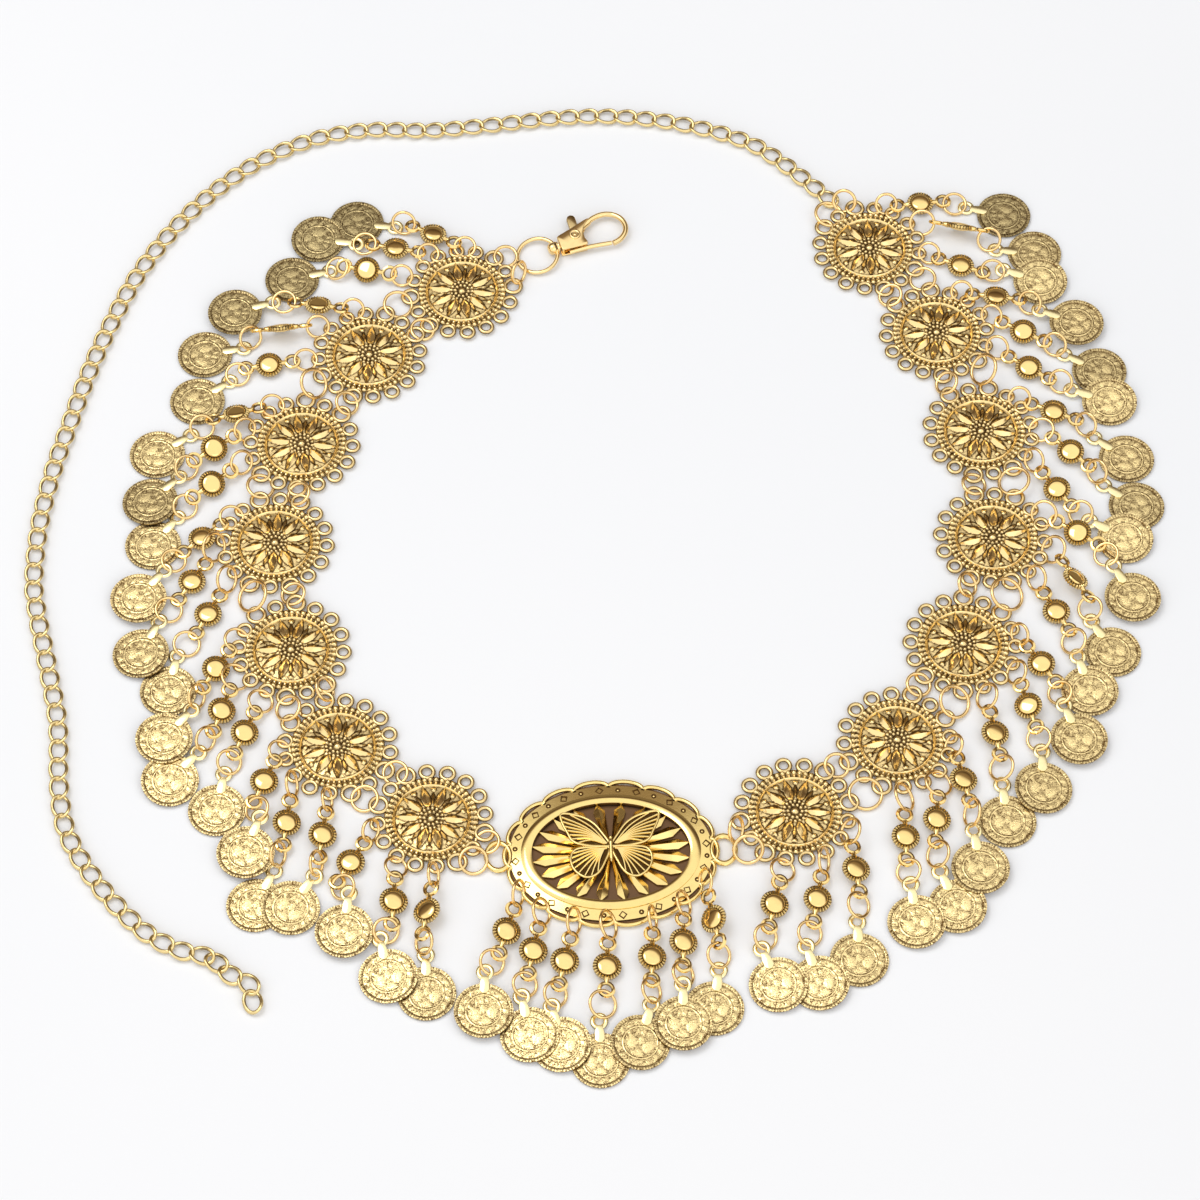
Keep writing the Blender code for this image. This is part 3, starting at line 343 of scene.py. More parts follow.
def gold_group():
    """Gold plate over a dark patina: bright where rubbed, brown in the hollows and where shade is painted,
    with fine wear.
    """
    group = bpy.data.node_groups.new("aged_plate", "ShaderNodeTree")
    for socket, kind, way in (
            ("Bright", "Color", "INPUT"), ("Hollow", "Color", "INPUT"), ("Patina And Shade", "Float", "INPUT"),
            ("Tone", "Float", "INPUT"), ("Smooth", "Float", "INPUT"), ("Dull", "Float", "INPUT"),
            ("Own Place", "Vector", "INPUT"), ("Line Scale", "Float", "INPUT"), ("Lines", "Float", "INPUT"),
            ("Color", "Color", "OUTPUT"), ("Roughness", "Float", "OUTPUT"), ("Height", "Float", "OUTPUT")):
        group.interface.new_socket(socket, in_out=way, socket_type="NodeSocket" + kind)
    nodes, links = group.nodes, group.links
    given = nodes.new("NodeGroupInput").outputs
    made = nodes.new("NodeGroupOutput").inputs

    def noise(detail, distortion=0.0):
        node = nodes.new("ShaderNodeTexNoise")
        node.inputs["Detail"].default_value = detail
        node.inputs["Distortion"].default_value = distortion
        return node

    def maths(operation, *values):
        """A maths node on numbers or other nodes' outputs."""
        node = nodes.new("ShaderNodeMath")
        node.operation = operation
        for socket, value in zip(node.inputs, values):
            if isinstance(value, float):
                socket.default_value = value
            else:
                links.new(value, socket)
        return node

    def blend(kind, share, one, two):
        node = nodes.new("ShaderNodeMix")
        node.data_type = kind
        links.new(share, node.inputs["Factor"])
        links.new(one, node.inputs["A"])
        links.new(two, node.inputs["B"])
        return node.outputs["Result"]

    place = nodes.new("ShaderNodeTexCoord")
    blotch = noise(3.0)
    blotch.inputs["Scale"].default_value = BLOTCH_SCALE
    grain = noise(2.0)
    grain.inputs["Scale"].default_value = GRAIN_SCALE
    for node in (blotch, grain):
        links.new(place.outputs["Object"], node.inputs["Vector"])
    scroll = noise(1.0, 0.8)
    links.new(given["Own Place"], scroll.inputs["Vector"])
    links.new(given["Line Scale"], scroll.inputs["Scale"])
    off_line = maths("SUBTRACT", scroll.outputs["Fac"], 0.5)
    width = maths("ABSOLUTE", off_line.outputs[0])
    cut = nodes.new("ShaderNodeMapRange")
    for socket, value in (("From Min", 0.012), ("From Max", 0.05), ("To Min", 1.0), ("To Max", 0.0)):
        cut.inputs[socket].default_value = value
    links.new(width.outputs[0], cut.inputs["Value"])
    lined = maths("MULTIPLY", cut.outputs["Result"], given["Lines"]).outputs[0]
    worn = maths("ADD", given["Patina And Shade"], lined)
    spread = maths("MULTIPLY_ADD", blotch.outputs["Fac"], 0.34, -0.17)
    amount = maths("ADD", worn.outputs[0], spread.outputs[0])
    amount.use_clamp = True
    toned = nodes.new("ShaderNodeVectorMath")
    toned.operation = "SCALE"
    links.new(blend("RGBA", amount.outputs[0], given["Bright"], given["Hollow"]), toned.inputs[0])
    links.new(given["Tone"], toned.inputs["Scale"])
    links.new(toned.outputs["Vector"], made["Color"])
    links.new(blend("FLOAT", amount.outputs[0], given["Smooth"], given["Dull"]), made["Roughness"])
    links.new(maths("SUBTRACT", grain.outputs["Fac"], lined).outputs[0], made["Height"])
    return group


aged_plate = gold_group()


def gold_material(name, bright, hollow, smooth, dull, grain=0.05, lines=0.0, line_scale=1.0):
    """A gold finish, with the roughness of the bright and of the dull gold, that reads the corners' marks."""
    material = bpy.data.materials.new(name)
    material.use_nodes = True
    nodes, links = material.node_tree.nodes, material.node_tree.links
    metal = nodes["Principled BSDF"]
    metal.inputs["Metallic"].default_value = 1.0
    plate = nodes.new("ShaderNodeGroup")
    plate.node_tree = aged_plate
    for socket, value in (("Bright", (*bright, 1.0)), ("Hollow", (*hollow, 1.0)), ("Smooth", smooth),
                          ("Dull", dull), ("Lines", lines), ("Line Scale", line_scale)):
        plate.inputs[socket].default_value = value
    for layer, socket, output in (("patina_and_shade", "Patina And Shade", "Fac"), ("tone", "Tone", "Fac"),
                                  ("own", "Own Place", "Vector")):
        kept = nodes.new("ShaderNodeAttribute")
        kept.attribute_name = layer
        links.new(kept.outputs[output], plate.inputs[socket])
    bumps = nodes.new("ShaderNodeBump")
    bumps.inputs["Strength"].default_value = grain
    bumps.inputs["Distance"].default_value = 0.0002
    links.new(plate.outputs["Height"], bumps.inputs["Height"])
    links.new(plate.outputs["Color"], metal.inputs["Base Color"])
    links.new(plate.outputs["Roughness"], metal.inputs["Roughness"])
    links.new(bumps.outputs["Normal"], metal.inputs["Normal"])
    return material


def finish_piece(name, piece, material, node, body="belt"):
    """Turn a shape in millimetres into a piece that takes the place of a node of the solids."""
    bmesh.ops.scale(piece, vec=(MM, MM, MM), verts=piece.verts)
    mesh = bpy.data.meshes.new(name)
    piece.to_mesh(mesh)
    piece.free()
    mesh.shade_smooth()
    mesh.set_sharp_from_angle(angle=SMOOTH_ANGLE)
    made = bpy.data.objects.new(name, mesh)
    bpy.context.scene.collection.objects.link(made)
    mesh.materials.append(material)
    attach(made, body)
    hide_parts(node)


def loop_place(centre, out, loop):
    reach = LARGE_LOOP[0] if loop in LARGE_LOOPS else SMALL_LOOP[0]
    return centre + around(out + loop * LOOP_STEP, reach)


def edge_loop(size, steps):
    """One of the cast loops on a medallion's edge, with patina left in its hole and painted shade on its
    outer side.
    """
    _, radius, wire = size
    loop = shade(wire_loop(radius, wire, steps, 8, 0.9),
                 lambda place: 0.95 if abs(place.xy.length - radius) > 0.9 * wire else 0.0)
    return set_tone(loop, 1.0)


cast_gold = gold_material("cast_gold", AGED_GOLD, PATINA_AND_SHADE, 0.13, 0.42, grain=0.08, lines=0.42, line_scale=0.6)
rosette = relief_disc(ROSE_RADIUS, ROSE_RINGS, ROSE_STEPS, ROSE_FOOT, ROSE_FLOOR, rosette_relief)
keep_own(rosette)
set_tone(rosette, 1.0)
small_loop = edge_loop(SMALL_LOOP, 22)
large_loop = edge_loop(LARGE_LOOP, 24)
medallion_centres = {}
medallion_outs = {}
for name, picture_x, picture_y, out_degrees in MEDALLIONS:
    centre = on_table(picture_x, picture_y)
    centre.z = 0.0
    out = math.radians(out_degrees)
    medallion_centres[name] = centre
    medallion_outs[name] = out
    piece = new_piece()
    stamp(piece, rosette, Matrix.Translation(centre) @ Matrix.Rotation(out, 4, "Z"))
    for loop in range(-7, 9):
        place = loop_place(centre, out, loop)
        place.z = LOOP_HEIGHT
        stamp(piece, large_loop if loop in LARGE_LOOPS else small_loop, Matrix.Translation(place))
    finish_piece("rosette_" + name, piece, cast_gold, "medallion_" + name)


# Forty-nine coin drops. Each hangs on a jump ring from a medallion's loop or from the plate's edge: a cast
# connector with a polished dome and a toothed rim, a second jump ring, and a pressed brass coin whose plain
# soldered tab carries the eyelet. The coins lie on the table or lean on their neighbours.
DROPS = (
    # carrier, loop, picture x and y of bead, eyelet and coin, bead's tip in degrees, which neighbour the coin
    # lies over (2: both), how far the lower ring stands towards edge-on, tone of the coin
    ("L1", -2, 433.5, 236.5, 391.4, 226.3, 357.0, 223.0, -8, 0, 0.9, 0.52),
    ("L1", 0, 395.9, 250.2, 351.0, 244.0, 318.2, 240.0, -5, -1, 0.2, 0.55),
    ("L1", 2, 367.1, 273.7, 327.7, 271.0, 292.1, 279.3, 22, 0, 0.2, 0.6),
    ("L2", -2, 318.6, 308.6, 272.0, 305.0, 235.4, 314.5, -19, 2, 0.2, 0.66),
    ("L2", 0, 281.8, 334.0, 241.4, 348.0, 205.0, 354.2, -52, 0, 0.8, 0.82),
    ("L2", 2, 269.4, 366.7, 228.6, 381.4, 197.4, 401.0, 5, 0, 0.2, 0.85),
    ("L3", -2, 236.7, 417.1, 191.2, 434.5, 157.3, 454.1, -20, 0, 0.4, 0.95),
    ("L3", 0, 214.5, 452.0, 182.0, 475.5, 150.4, 502.6, 22, 1, 0.6, 0.78),
    ("L3", 2, 212.2, 487.5, 179.0, 515.1, 153.0, 545.0, 22, 0, 0.4, 0.92),
    ("L4", -2, 202.2, 540.0, 166.5, 570.5, 138.8, 600.4, -5, 2, 0.2, 1.0),
    ("L4", 0, 192.2, 582.7, 160.6, 619.8, 141.0, 654.4, 0, 1, 0.2, 0.92),
    ("L4", 2, 208.2, 615.3, 178.0, 652.4, 168.3, 690.7, 0, 0, 0.2, 0.9),
    ("L5", -2, 216.2, 671.0, 191.0, 712.9, 164.4, 740.4, 10, 2, 0.8, 1.0),
    ("L5", 0, 222.0, 712.9, 199.2, 752.7, 170.0, 781.0, 12, -1, 0.8, 1.0),
    ("L5", 2, 244.9, 735.1, 224.5, 770.8, 216.9, 809.8, 12, 0, 0.4, 1.0),
    ("L6", -2, 264.3, 783.0, 260.2, 818.8, 245.9, 854.4, 5, 2, 0.3, 1.0),
    ("L6", 0, 286.9, 824.7, 276.1, 866.5, 255.5, 905.0, 10, 0, 0.8, 1.0),
    ("L6", 2, 322.7, 836.9, 314.5, 876.7, 290.6, 908.6, 10, -1, 0.8, 1.0),
    ("L7", -2, 350.7, 863.4, 349.2, 893.5, 344.4, 933.0, 0, 2, 0.4, 1.0),
    ("L7", 0, 393.7, 903.3, 380.4, 940.4, 388.2, 977.0, 12, 1, 0.3, 0.95),
    ("L7", 2, 427.1, 914.3, 425.7, 952.7, 426.5, 993.0, -25, 0, 0.6, 0.9),
    ("plate", 0, 506.6, 933.6, 485.3, 971.8, 483.6, 1012.7, 15, 2, 0.4, 1.0),
    ("plate", 1, 533.3, 952.4, 521.6, 996.3, 530.0, 1035.5, 8, 1, 0.3, 0.98),
    ("plate", 2, 564.7, 962.9, 551.8, 1006.5, 561.5, 1045.2, 8, 1, 0.4, 0.98),
    ("plate", 3, 607.1, 968.2, 599.0, 1016.1, 600.6, 1060.0, 8, 0, 0.3, 1.0),
    ("plate", 4, 652.0, 959.0, 651.6, 1003.9, 640.4, 1043.1, 12, -1, 0.5, 1.0),
    ("plate", 5, 683.3, 944.3, 682.9, 982.0, 683.6, 1025.0, 14, 2, 0.4, 1.0),
    ("plate", 6, 713.5, 923.3, 719.0, 967.8, 714.5, 1008.0, -37, 0, 0.3, 0.98),
    ("R7", -2, 774.3, 906.5, 760.8, 947.3, 778.5, 985.4, 12, 1, 0.4, 1.0),
    ("R7", 0, 817.3, 901.0, 805.3, 944.9, 820.0, 983.7, 10, 1, 0.3, 0.97),
    ("R7", 2, 855.7, 871.4, 857.1, 917.3, 859.4, 959.5, 14, 0, 0.4, 1.0),
    ("R6", -2, 905.3, 838.6, 910.4, 882.5, 916.8, 922.5, 8, 1, 0.3, 1.0),
    ("R6", 0, 936.5, 821.2, 938.6, 869.2, 957.5, 907.0, 10, 1, 0.5, 0.96),
    ("R6", 2, 963.1, 781.6, 972.2, 826.5, 980.2, 869.5, 12, 2, 0.8, 1.0),
    ("R5", -2, 994.7, 735.1, 1001.8, 780.6, 1007.5, 821.0, 10, 0, 0.4, 1.0),
    ("R5", 0, 1027.8, 708.4, 1041.6, 750.6, 1043.3, 788.6, -15, -1, 0.3, 1.0),
    ("R5", 2, 1041.0, 665.3, 1061.8, 702.7, 1078.6, 741.0, 5, 2, 0.3, 1.0),
    ("R4", -2, 1056.1, 612.4, 1076.5, 653.7, 1089.8, 691.5, 0, 1, 0.4, 1.0),
    ("R4", 0, 1074.5, 582.9, 1089.8, 618.0, 1112.8, 651.5, -32, 0, 0.3, 1.0),
    ("R4", 2, 1077.1, 535.3, 1112.2, 565.9, 1132.3, 599.3, 12, 2, 0.3, 1.0),
    ("R3", -2, 1056.5, 491.2, 1091.2, 522.4, 1125.2, 539.1, 8, 1, 0.4, 1.0),
    ("R3", 0, 1070.2, 453.7, 1105.5, 485.7, 1136.6, 505.6, 8, 0, 0.8, 0.85),
    ("R3", 2, 1053.5, 412.7, 1094.3, 437.1, 1126.5, 458.4, 0, 0, 0.8, 1.0),
    ("R2", -2, 1028.4, 369.4, 1072.9, 391.2, 1109.3, 402.3, 5, 1, 0.8, 1.0),
    ("R2", 0, 1022.9, 333.7, 1065.7, 354.5, 1099.4, 370.5, 8, 0, 0.8, 0.82),
    ("R2", 2, 995.7, 298.8, 1040.2, 312.7, 1076.1, 324.7, -8, 2, 0.8, 0.98),
    ("R1", -2, 960.6, 266.7, 1003.5, 270.8, 1040.1, 281.6, 0, 1, 0.2, 0.95),
    ("R1", 0, 958.6, 232.7, 996.3, 249.4, 1034.4, 253.0, -52, 0, 0.5, 0.88),
    ("R1", 2, 920.0, 204.6, 967.8, 207.6, 1003.7, 214.8, 0, 0, 0.2, 0.62),
)
PLATE_HANGERS = ((518.2, 886.5), (540.7, 904.7), (575.1, 915.9), (608.7, 918.7), (655.7, 913.1),
                 (688.0, 896.3), (707.0, 873.8))
PLATE_PICTURE = (611.0, 853.0)
HANGER_REACH = 1.6
COIN_RADIUS = 9.0
COIN_FLOOR = 0.36
COIN_HEIGHT = 0.62
COIN_LEAN = math.radians(5.2)
COIN_LIFT = 0.85
COIN_TURN = 25
EYELET_REACH = 13.0
BEAD_LOOP_REACH = 7.75
BEAD_TEETH = 26
BEAD_RADIUS = 4.4
BEAD_CLEARANCE = 0.15
RING_TOP = 8.7
DROP_RING = 3.8
UPPER_RING = 3.45
DROP_WIRE = 0.52
TAB_THICKNESS = 0.34
COIN_RINGS = (0.08, 0.16, 0.24, 0.32, 0.40, 0.47, 0.53, 0.555, 0.58, 0.60, 0.63, 0.66, 0.70, 0.75, 0.80, 0.84,
              0.87, 0.905, 0.95, 1.0)
COIN_STEPS = 120
COIN_TEETH = 60
COIN_RIM = 0.9
COIN_GROOVE = 0.865
COIN_BAND = 0.64
COIN_CIRCLE = 0.54
COIN_SPRIGS = 15
COIN_GOLD = (0.97, 0.76, 0.37)
# Brown for the coins' patina, also used for painted shade on their edges and undersides.
COIN_PATINA_AND_SHADE = (0.16, 0.09, 0.03)
TAB_GOLD = (0.98, 0.84, 0.46)
DOME_GOLD = (0.97, 0.71, 0.29)
RING_GOLD = (0.96, 0.68, 0.31)
COIN_LOBES = (
    # x, y, half width, half height, turn in degrees, height
    (-2.6, -0.4, 1.5, 2.3, 22, 1.0),
    (2.7, -0.6, 1.5, 2.2, -20, 1.0),
    (0.1, -3.6, 2.0, 1.1, 0, 0.9),
    (0.0, 0.6, 0.9, 1.2, 0, 0.9),
    (0.0, 3.4, 0.75, 0.9, 0, 0.8),
    (-1.7, 3.3, 0.6, 0.6, 0, 0.8),
    (1.7, 3.3, 0.6, 0.6, 0, 0.8),
    (-4.2, 2.3, 0.5, 0.5, 0, 0.7),
    (4.2, 2.3, 0.5, 0.5, 0, 0.7),
)


def coin_relief(radius, angle):
    """Height and patina of a coin: milled rim, groove, band of sprigs, and round lobes inside a ring line."""
    share = radius / COIN_RADIUS
    if share > COIN_RIM:
        tooth = 0.5 + 0.5 * math.cos(angle * COIN_TEETH)
        return 0.20 + 0.10 * tooth, 0.62 - 0.60 * tooth
    if share > COIN_GROOVE:
        return 0.05, 0.95
    if share > COIN_BAND:
        slant = math.cos(angle * COIN_SPRIGS + 11.0 * share) * math.cos(math.pi * (share - 0.735) / 0.26)
        sprig = max(0.0, slant) ** 0.6
        return 0.10 + 0.08 * sprig, 0.22 - 0.35 * sprig
    if share > COIN_CIRCLE:
        line = ridge(share - 0.588, 0.04)
        return 0.06 + 0.14 * line, 0.75 - 1.5 * line
    top = 0.0
    x, y = radius * math.cos(angle), radius * math.sin(angle)
    for lobe_x, lobe_y, wide, tall, turn, height in COIN_LOBES:
        cosine, sine = math.cos(math.radians(turn)), math.sin(math.radians(turn))
        along = ((x - lobe_x) * cosine + (y - lobe_y) * sine) / wide
        up = (-(x - lobe_x) * sine + (y - lobe_y) * cosine) / tall
        far = along * along + up * up
        if far < 1.0:
            top = max(top, height * (1.0 - far) ** 0.4)
    return 0.08 + 0.12 * top, 0.30 - 1.1 * top


def flat_sheet(outline, low, thickness):
    """A sheet cut to an outline."""
    sheet = bmesh.new()
    face = sheet.faces.new([sheet.verts.new((x, y, low)) for x, y in outline])
    sides = bmesh.ops.extrude_face_region(sheet, geom=[face])
    raised = [item for item in sides["geom"] if isinstance(item, bmesh.types.BMVert)]
    bmesh.ops.translate(sheet, verts=raised, vec=(0.0, 0.0, thickness))
    bmesh.ops.recalc_face_normals(sheet, faces=sheet.faces)
    return sheet


def ease_edges(shape, edges, offset, segments):
    bmesh.ops.bevel(shape, geom=edges, offset=offset, offset_type="OFFSET", affect="EDGES", segments=segments,
                    profile=0.5, material=-1, clamp_overlap=True)


def cut_round(shape, length):
    """Turn a shape made along Z so that it runs along Y, and slide it out."""
    bmesh.ops.rotate(shape, cent=(0, 0, 0), matrix=Matrix.Rotation(-math.pi / 2, 3, "X"), verts=shape.verts)
    bmesh.ops.translate(shape, vec=(0.0, length, 0.0), verts=shape.verts)
    return shape


def connector_shape():
    """A low polished dome in a ring of small rod teeth, with a necked loop at each end."""
    profile = [(0.0, 1.36), (1.1, 1.34), (2.0, 1.27), (2.75, 1.12), (3.08, 0.9), (3.16, 0.5), (3.26, 0.45),
               (3.4, 0.95), (4.05, 0.95), (4.4, 0.5), (4.4, -0.5), (4.1, -0.95), (3.3, -0.7), (2.9, -1.0),
               (1.6, -1.3), (0.0, -1.4)]
    shape = spun(profile, BEAD_TEETH * 3)
    patina_and_shade = shape.verts.layers.float.new("patina_and_shade")
    for corner in shape.verts:
        place = corner.co
        radius = math.hypot(place.x, place.y)
        corner[patina_and_shade] = 1.0 if 3.12 < radius < 3.3 else 0.0
        if radius > 3.3:
            tooth = 0.5 + 0.5 * math.cos(BEAD_TEETH * math.atan2(place.y, place.x))
            corner.co.z *= 0.4 + 0.6 * tooth
            corner[patina_and_shade] = 1.15 - 1.15 * tooth if radius < 4.3 else 0.9 - 0.9 * tooth
    whole = new_piece()
    stamp(whole, shape, Matrix())
    loop = shade(wire_loop(2.15, 0.66, 18, 7), lambda place: 0.8 if place.xy.length < 1.8 else 0.0)
    for end in (-1, 1):
        stamp(whole, loop, Matrix.Translation((0.0, end * BEAD_LOOP_REACH, 0.0)))
        neck = spun([(0.0, 0.0), (1.05, 0.0), (0.8, 0.8), (0.78, 1.6), (0.0, 1.6)], 8)
        stamp(whole, shade(cut_round(neck, 4.1), 0.1), Matrix.Rotation(math.pi * (end < 0), 4, "Z"))
    return whole


coin = relief_disc(COIN_RADIUS, COIN_RINGS, COIN_STEPS, 0.0, COIN_FLOOR, coin_relief)
keep_own(coin)
connector = set_tone(connector_shape(), 1.0)
eyelet = wire_loop(2.1, 0.72, 20, 8, 0.5)
tab_outline = ((-1.15, 1.5), (-1.15, 2.6), (-1.45, 3.6), (-1.5, 6.2), (-0.6, 7.2), (0.6, 7.2), (1.5, 6.2),
               (1.45, 3.6), (1.15, 2.6), (1.15, 1.5))
tab = flat_sheet([(x, -y) for x, y in tab_outline], 0.0, TAB_THICKNESS)
ease_edges(tab, [edge for edge in tab.edges if edge.verts[0].co.z > 0.1 and edge.verts[1].co.z > 0.1], 0.1, 2)


def turned_to(way, up):
    """A turn whose Y axis runs along a way and whose Z axis is close to up."""
    along = way.normalized()
    across = along.cross(up).normalized()
    lift = across.cross(along)
    return Matrix((across, along, lift)).transposed().to_4x4()


def edge_on(way):
    """The tilt about a ring's own line that turns it edge-on to the viewer."""
    across = Vector((-way.y, way.x, 0.0))
    return math.atan2(-back_off.z, back_off.dot(across))


def jump_ring(one, two, wire, share, least):
    """A jump ring through two loops: its size, and how it stands between lying flat and edge-on."""
    way = flat_way(two - one)
    apart = (two - one).xy.length
    radius = max(least, apart / 2 - 0.8)
    tilt = edge_on(way)
    if tilt < -math.pi / 2:
        tilt += math.pi
    steepest = math.asin(min(1.0, (RING_TOP - 2 * wire) / (2 * radius)))
    tilt = min(max(tilt * share, -steepest), steepest)
    middle = (one + two) / 2
    middle.z = max(radius * abs(math.sin(tilt)) + wire + 0.05, (one.z + two.z) / 2 + 0.3)
    pitch = math.atan2(two.z - one.z, apart) * (1.0 - share)
    turn = Matrix.Rotation(math.atan2(way.y, way.x), 4, "Z") @ Matrix.Rotation(-pitch, 4, "Y")
    return wire_loop(radius, wire, 30, 8), Matrix.Translation(middle) @ turn @ Matrix.Rotation(tilt, 4, "X")


plate_middle = on_table(*PLATE_PICTURE)
coin_places = [on_table(row[6], row[7]) for row in DROPS]
coin_gold = gold_material("coin_gold", COIN_GOLD, COIN_PATINA_AND_SHADE, 0.2, 0.45, grain=0.3, lines=0.8,
                          line_scale=0.95)
tab_gold = gold_material("tab_gold", TAB_GOLD, COIN_PATINA_AND_SHADE, 0.22, 0.45)
dome_gold = gold_material("dome_gold", DOME_GOLD, PATINA_AND_SHADE, 0.06, 0.4, grain=0.0)
ring_gold = gold_material("ring_gold", RING_GOLD, PATINA_AND_SHADE, 0.12, 0.4, grain=0.02)
turns = random.Random(7)
drop_pieces = {}
for number, row in enumerate(DROPS):
    carrier, loop, bead_x, bead_y, eyelet_x, eyelet_y, _, _, tip, over, ring_share, tone = row
    if carrier == "plate":
        hanger = on_table(*PLATE_HANGERS[loop])
        anchor = hanger + flat_way(plate_middle - hanger) * HANGER_REACH
    else:
        anchor = loop_place(medallion_centres[carrier], medallion_outs[carrier], loop)
    anchor.z = LOOP_HEIGHT
    if carrier not in drop_pieces:
        drop_pieces[carrier] = {kind: new_piece() for kind in ("coins", "tabs", "connectors", "drop_rings")}
    pieces = drop_pieces[carrier]
    middle = on_table(bead_x, bead_y)
    bead_way = flat_way(middle - anchor)
    tip = math.radians(tip)
    side = bead_way.cross(Vector((0, 0, 1)))
    tip_side = side if side.dot(Vector((0.3, -1.0, 0.0))) > 0 else -side
    bead_up = Vector((0, 0, 1)) * math.cos(tip) + tip_side * math.sin(tip)
    middle.z = BEAD_CLEARANCE + BEAD_RADIUS * abs(math.sin(tip)) + 1.5 * math.cos(tip)
    bead_turn = Matrix.Translation(middle) @ turned_to(bead_way, bead_up)
    stamp(pieces["connectors"], connector, bead_turn)
    ends = [middle + bead_way * end * BEAD_LOOP_REACH for end in (-1, 1)]
    lift = 0.0
    coin_up = Vector((0, 0, 1))
    if over == 2:
        lift = 2 * COIN_LIFT
    elif over:
        toward = flat_way(coin_places[number + over] - coin_places[number])
        coin_up = Vector((0, 0, 1)) * math.cos(COIN_LEAN) - toward * math.sin(COIN_LEAN)
        lift = COIN_LIFT
    place = coin_places[number].copy()
    place.z = COIN_HEIGHT + lift - COIN_FLOOR
    coin_way = flat_way(on_table(eyelet_x, eyelet_y) - place)
    coin_turn = Matrix.Translation(place) @ turned_to(coin_way, coin_up)
    twist = Matrix.Rotation(math.radians(turns.uniform(-COIN_TURN, COIN_TURN)), 4, "Z")
    stamp(pieces["coins"], set_tone(coin, tone), coin_turn @ twist)
    eye = coin_turn @ Matrix.Translation((0, EYELET_REACH, COIN_FLOOR + 0.1))
    add_part(pieces["tabs"], eyelet, eye)
    add_part(pieces["tabs"], tab, coin_turn @ Matrix.Translation((0, EYELET_REACH, COIN_FLOOR + 0.18)))
    upper_share = turns.choice((0.65, 0.8, 0.9) if carrier == "plate" else (0.25, 0.55, 0.8))
    add_part(pieces["drop_rings"], *jump_ring(anchor, ends[0], DROP_WIRE, upper_share, UPPER_RING))
    add_part(pieces["drop_rings"], *jump_ring(ends[1], eye.translation, DROP_WIRE, ring_share, DROP_RING))
for carrier, pieces in drop_pieces.items():
    node = "centre_plate" if carrier == "plate" else "medallion_" + carrier
    for kind, material in (("coins", coin_gold), ("tabs", tab_gold), ("connectors", dome_gold),
                           ("drop_rings", ring_gold)):
        finish_piece(kind + "_" + carrier, pieces[kind], material, node)


# The centre plate's rim: a pressed oval of gold-plated brass, stamped with small lozenges and ringed dots
# and edged with eighteen wire scallops that are soldered on.
SCALLOPS = 18
SCALLOP_REACH = (33.7, 25.9)
SCALLOP_WIRE = 0.74
SCALLOP_TURNS = 14
RIM_OUTER = (31.4, 23.4)
BAND_OUTER = (27.8, 19.9)
BAND_INNER = (24.5, 16.9)
PLATE_STEPS = 220
PLATE_TURN = math.radians(2.0)
MARKS = 16
MARK_HEIGHT = 1.46
RIM_PARTS = 6
BAND_PARTS = 12
PLATE_GOLD = (0.92, 0.69, 0.27)
# Brown for the plate's stamped marks, also used for painted shade on its walls and undersides.
PLATE_PATINA_AND_SHADE = (0.10, 0.05, 0.016)


def between(outer, inner, share):
    return (inner[0] + (outer[0] - inner[0]) * share, inner[1] + (outer[1] - inner[1]) * share)


def oval(half, angle, height=0.0):
    return Vector((half[0] * math.cos(angle), half[1] * math.sin(angle), height))


def oval_band(stations, steps, thickness):
    """A closed oval band: stations of (half length, half width, height) from the outside in."""
    band = spun([(10.0 + number, 0.0) for number in range(len(stations))], steps)
    for corner in band.verts:
        number = int(round(math.hypot(corner.co.x, corner.co.y) - 10.0))
        half_length, half_width, height = stations[number]
        corner.co = oval((half_length, half_width), math.atan2(corner.co.y, corner.co.x), height)
    bmesh.ops.solidify(band, geom=band.faces[:], thickness=thickness)
    bmesh.ops.recalc_face_normals(band, faces=band.faces)
    return band


plate_place = Matrix.Translation((plate_middle.x, plate_middle.y, 0.0)) @ Matrix.Rotation(PLATE_TURN, 4, "Z")
plate_gold = gold_material("plate_gold", PLATE_GOLD, PLATE_PATINA_AND_SHADE, 0.1, 0.45, grain=0.03)
piece = new_piece()
rim_stations = [(*RIM_OUTER, 0.9)]
for number in range(RIM_PARTS + 1):
    share = number / RIM_PARTS
    rim_stations.append((*between(RIM_OUTER, BAND_OUTER, 1.0 - share), 1.2 + 0.45 * share))
rim_stations.append((*between(BAND_OUTER, BAND_INNER, 0.97), 1.35))
rim = oval_band(rim_stations, PLATE_STEPS, 0.5)
# The rim's low outer edge and underside are painted dark as shade.
add_part(piece, rim, plate_place, lambda place: 0.85 if place.z < 1.1 else 0.0)
lozenge = wire_loop(1.15, 0.27, 4, 6)
dot_ring = wire_loop(0.6, 0.25, 10, 6)
dot_top = spun([(0.0, 0.2), (0.25, 0.14), (0.4, 0.0), (0.0, 0.0)], 8)
for number in range(2 * MARKS):
    angle = math.pi * (number + 0.5) / MARKS
    mark = oval(between(RIM_OUTER, BAND_OUTER, 0.52), angle, MARK_HEIGHT)
    place = plate_place @ Matrix.Translation(mark) @ Matrix.Rotation(math.atan2(mark.y, mark.x), 4, "Z")
    if number % 2:
        add_part(piece, dot_ring, place, 1.0)
        add_part(piece, dot_top, place)
    else:
        add_part(piece, lozenge, place, 1.0)
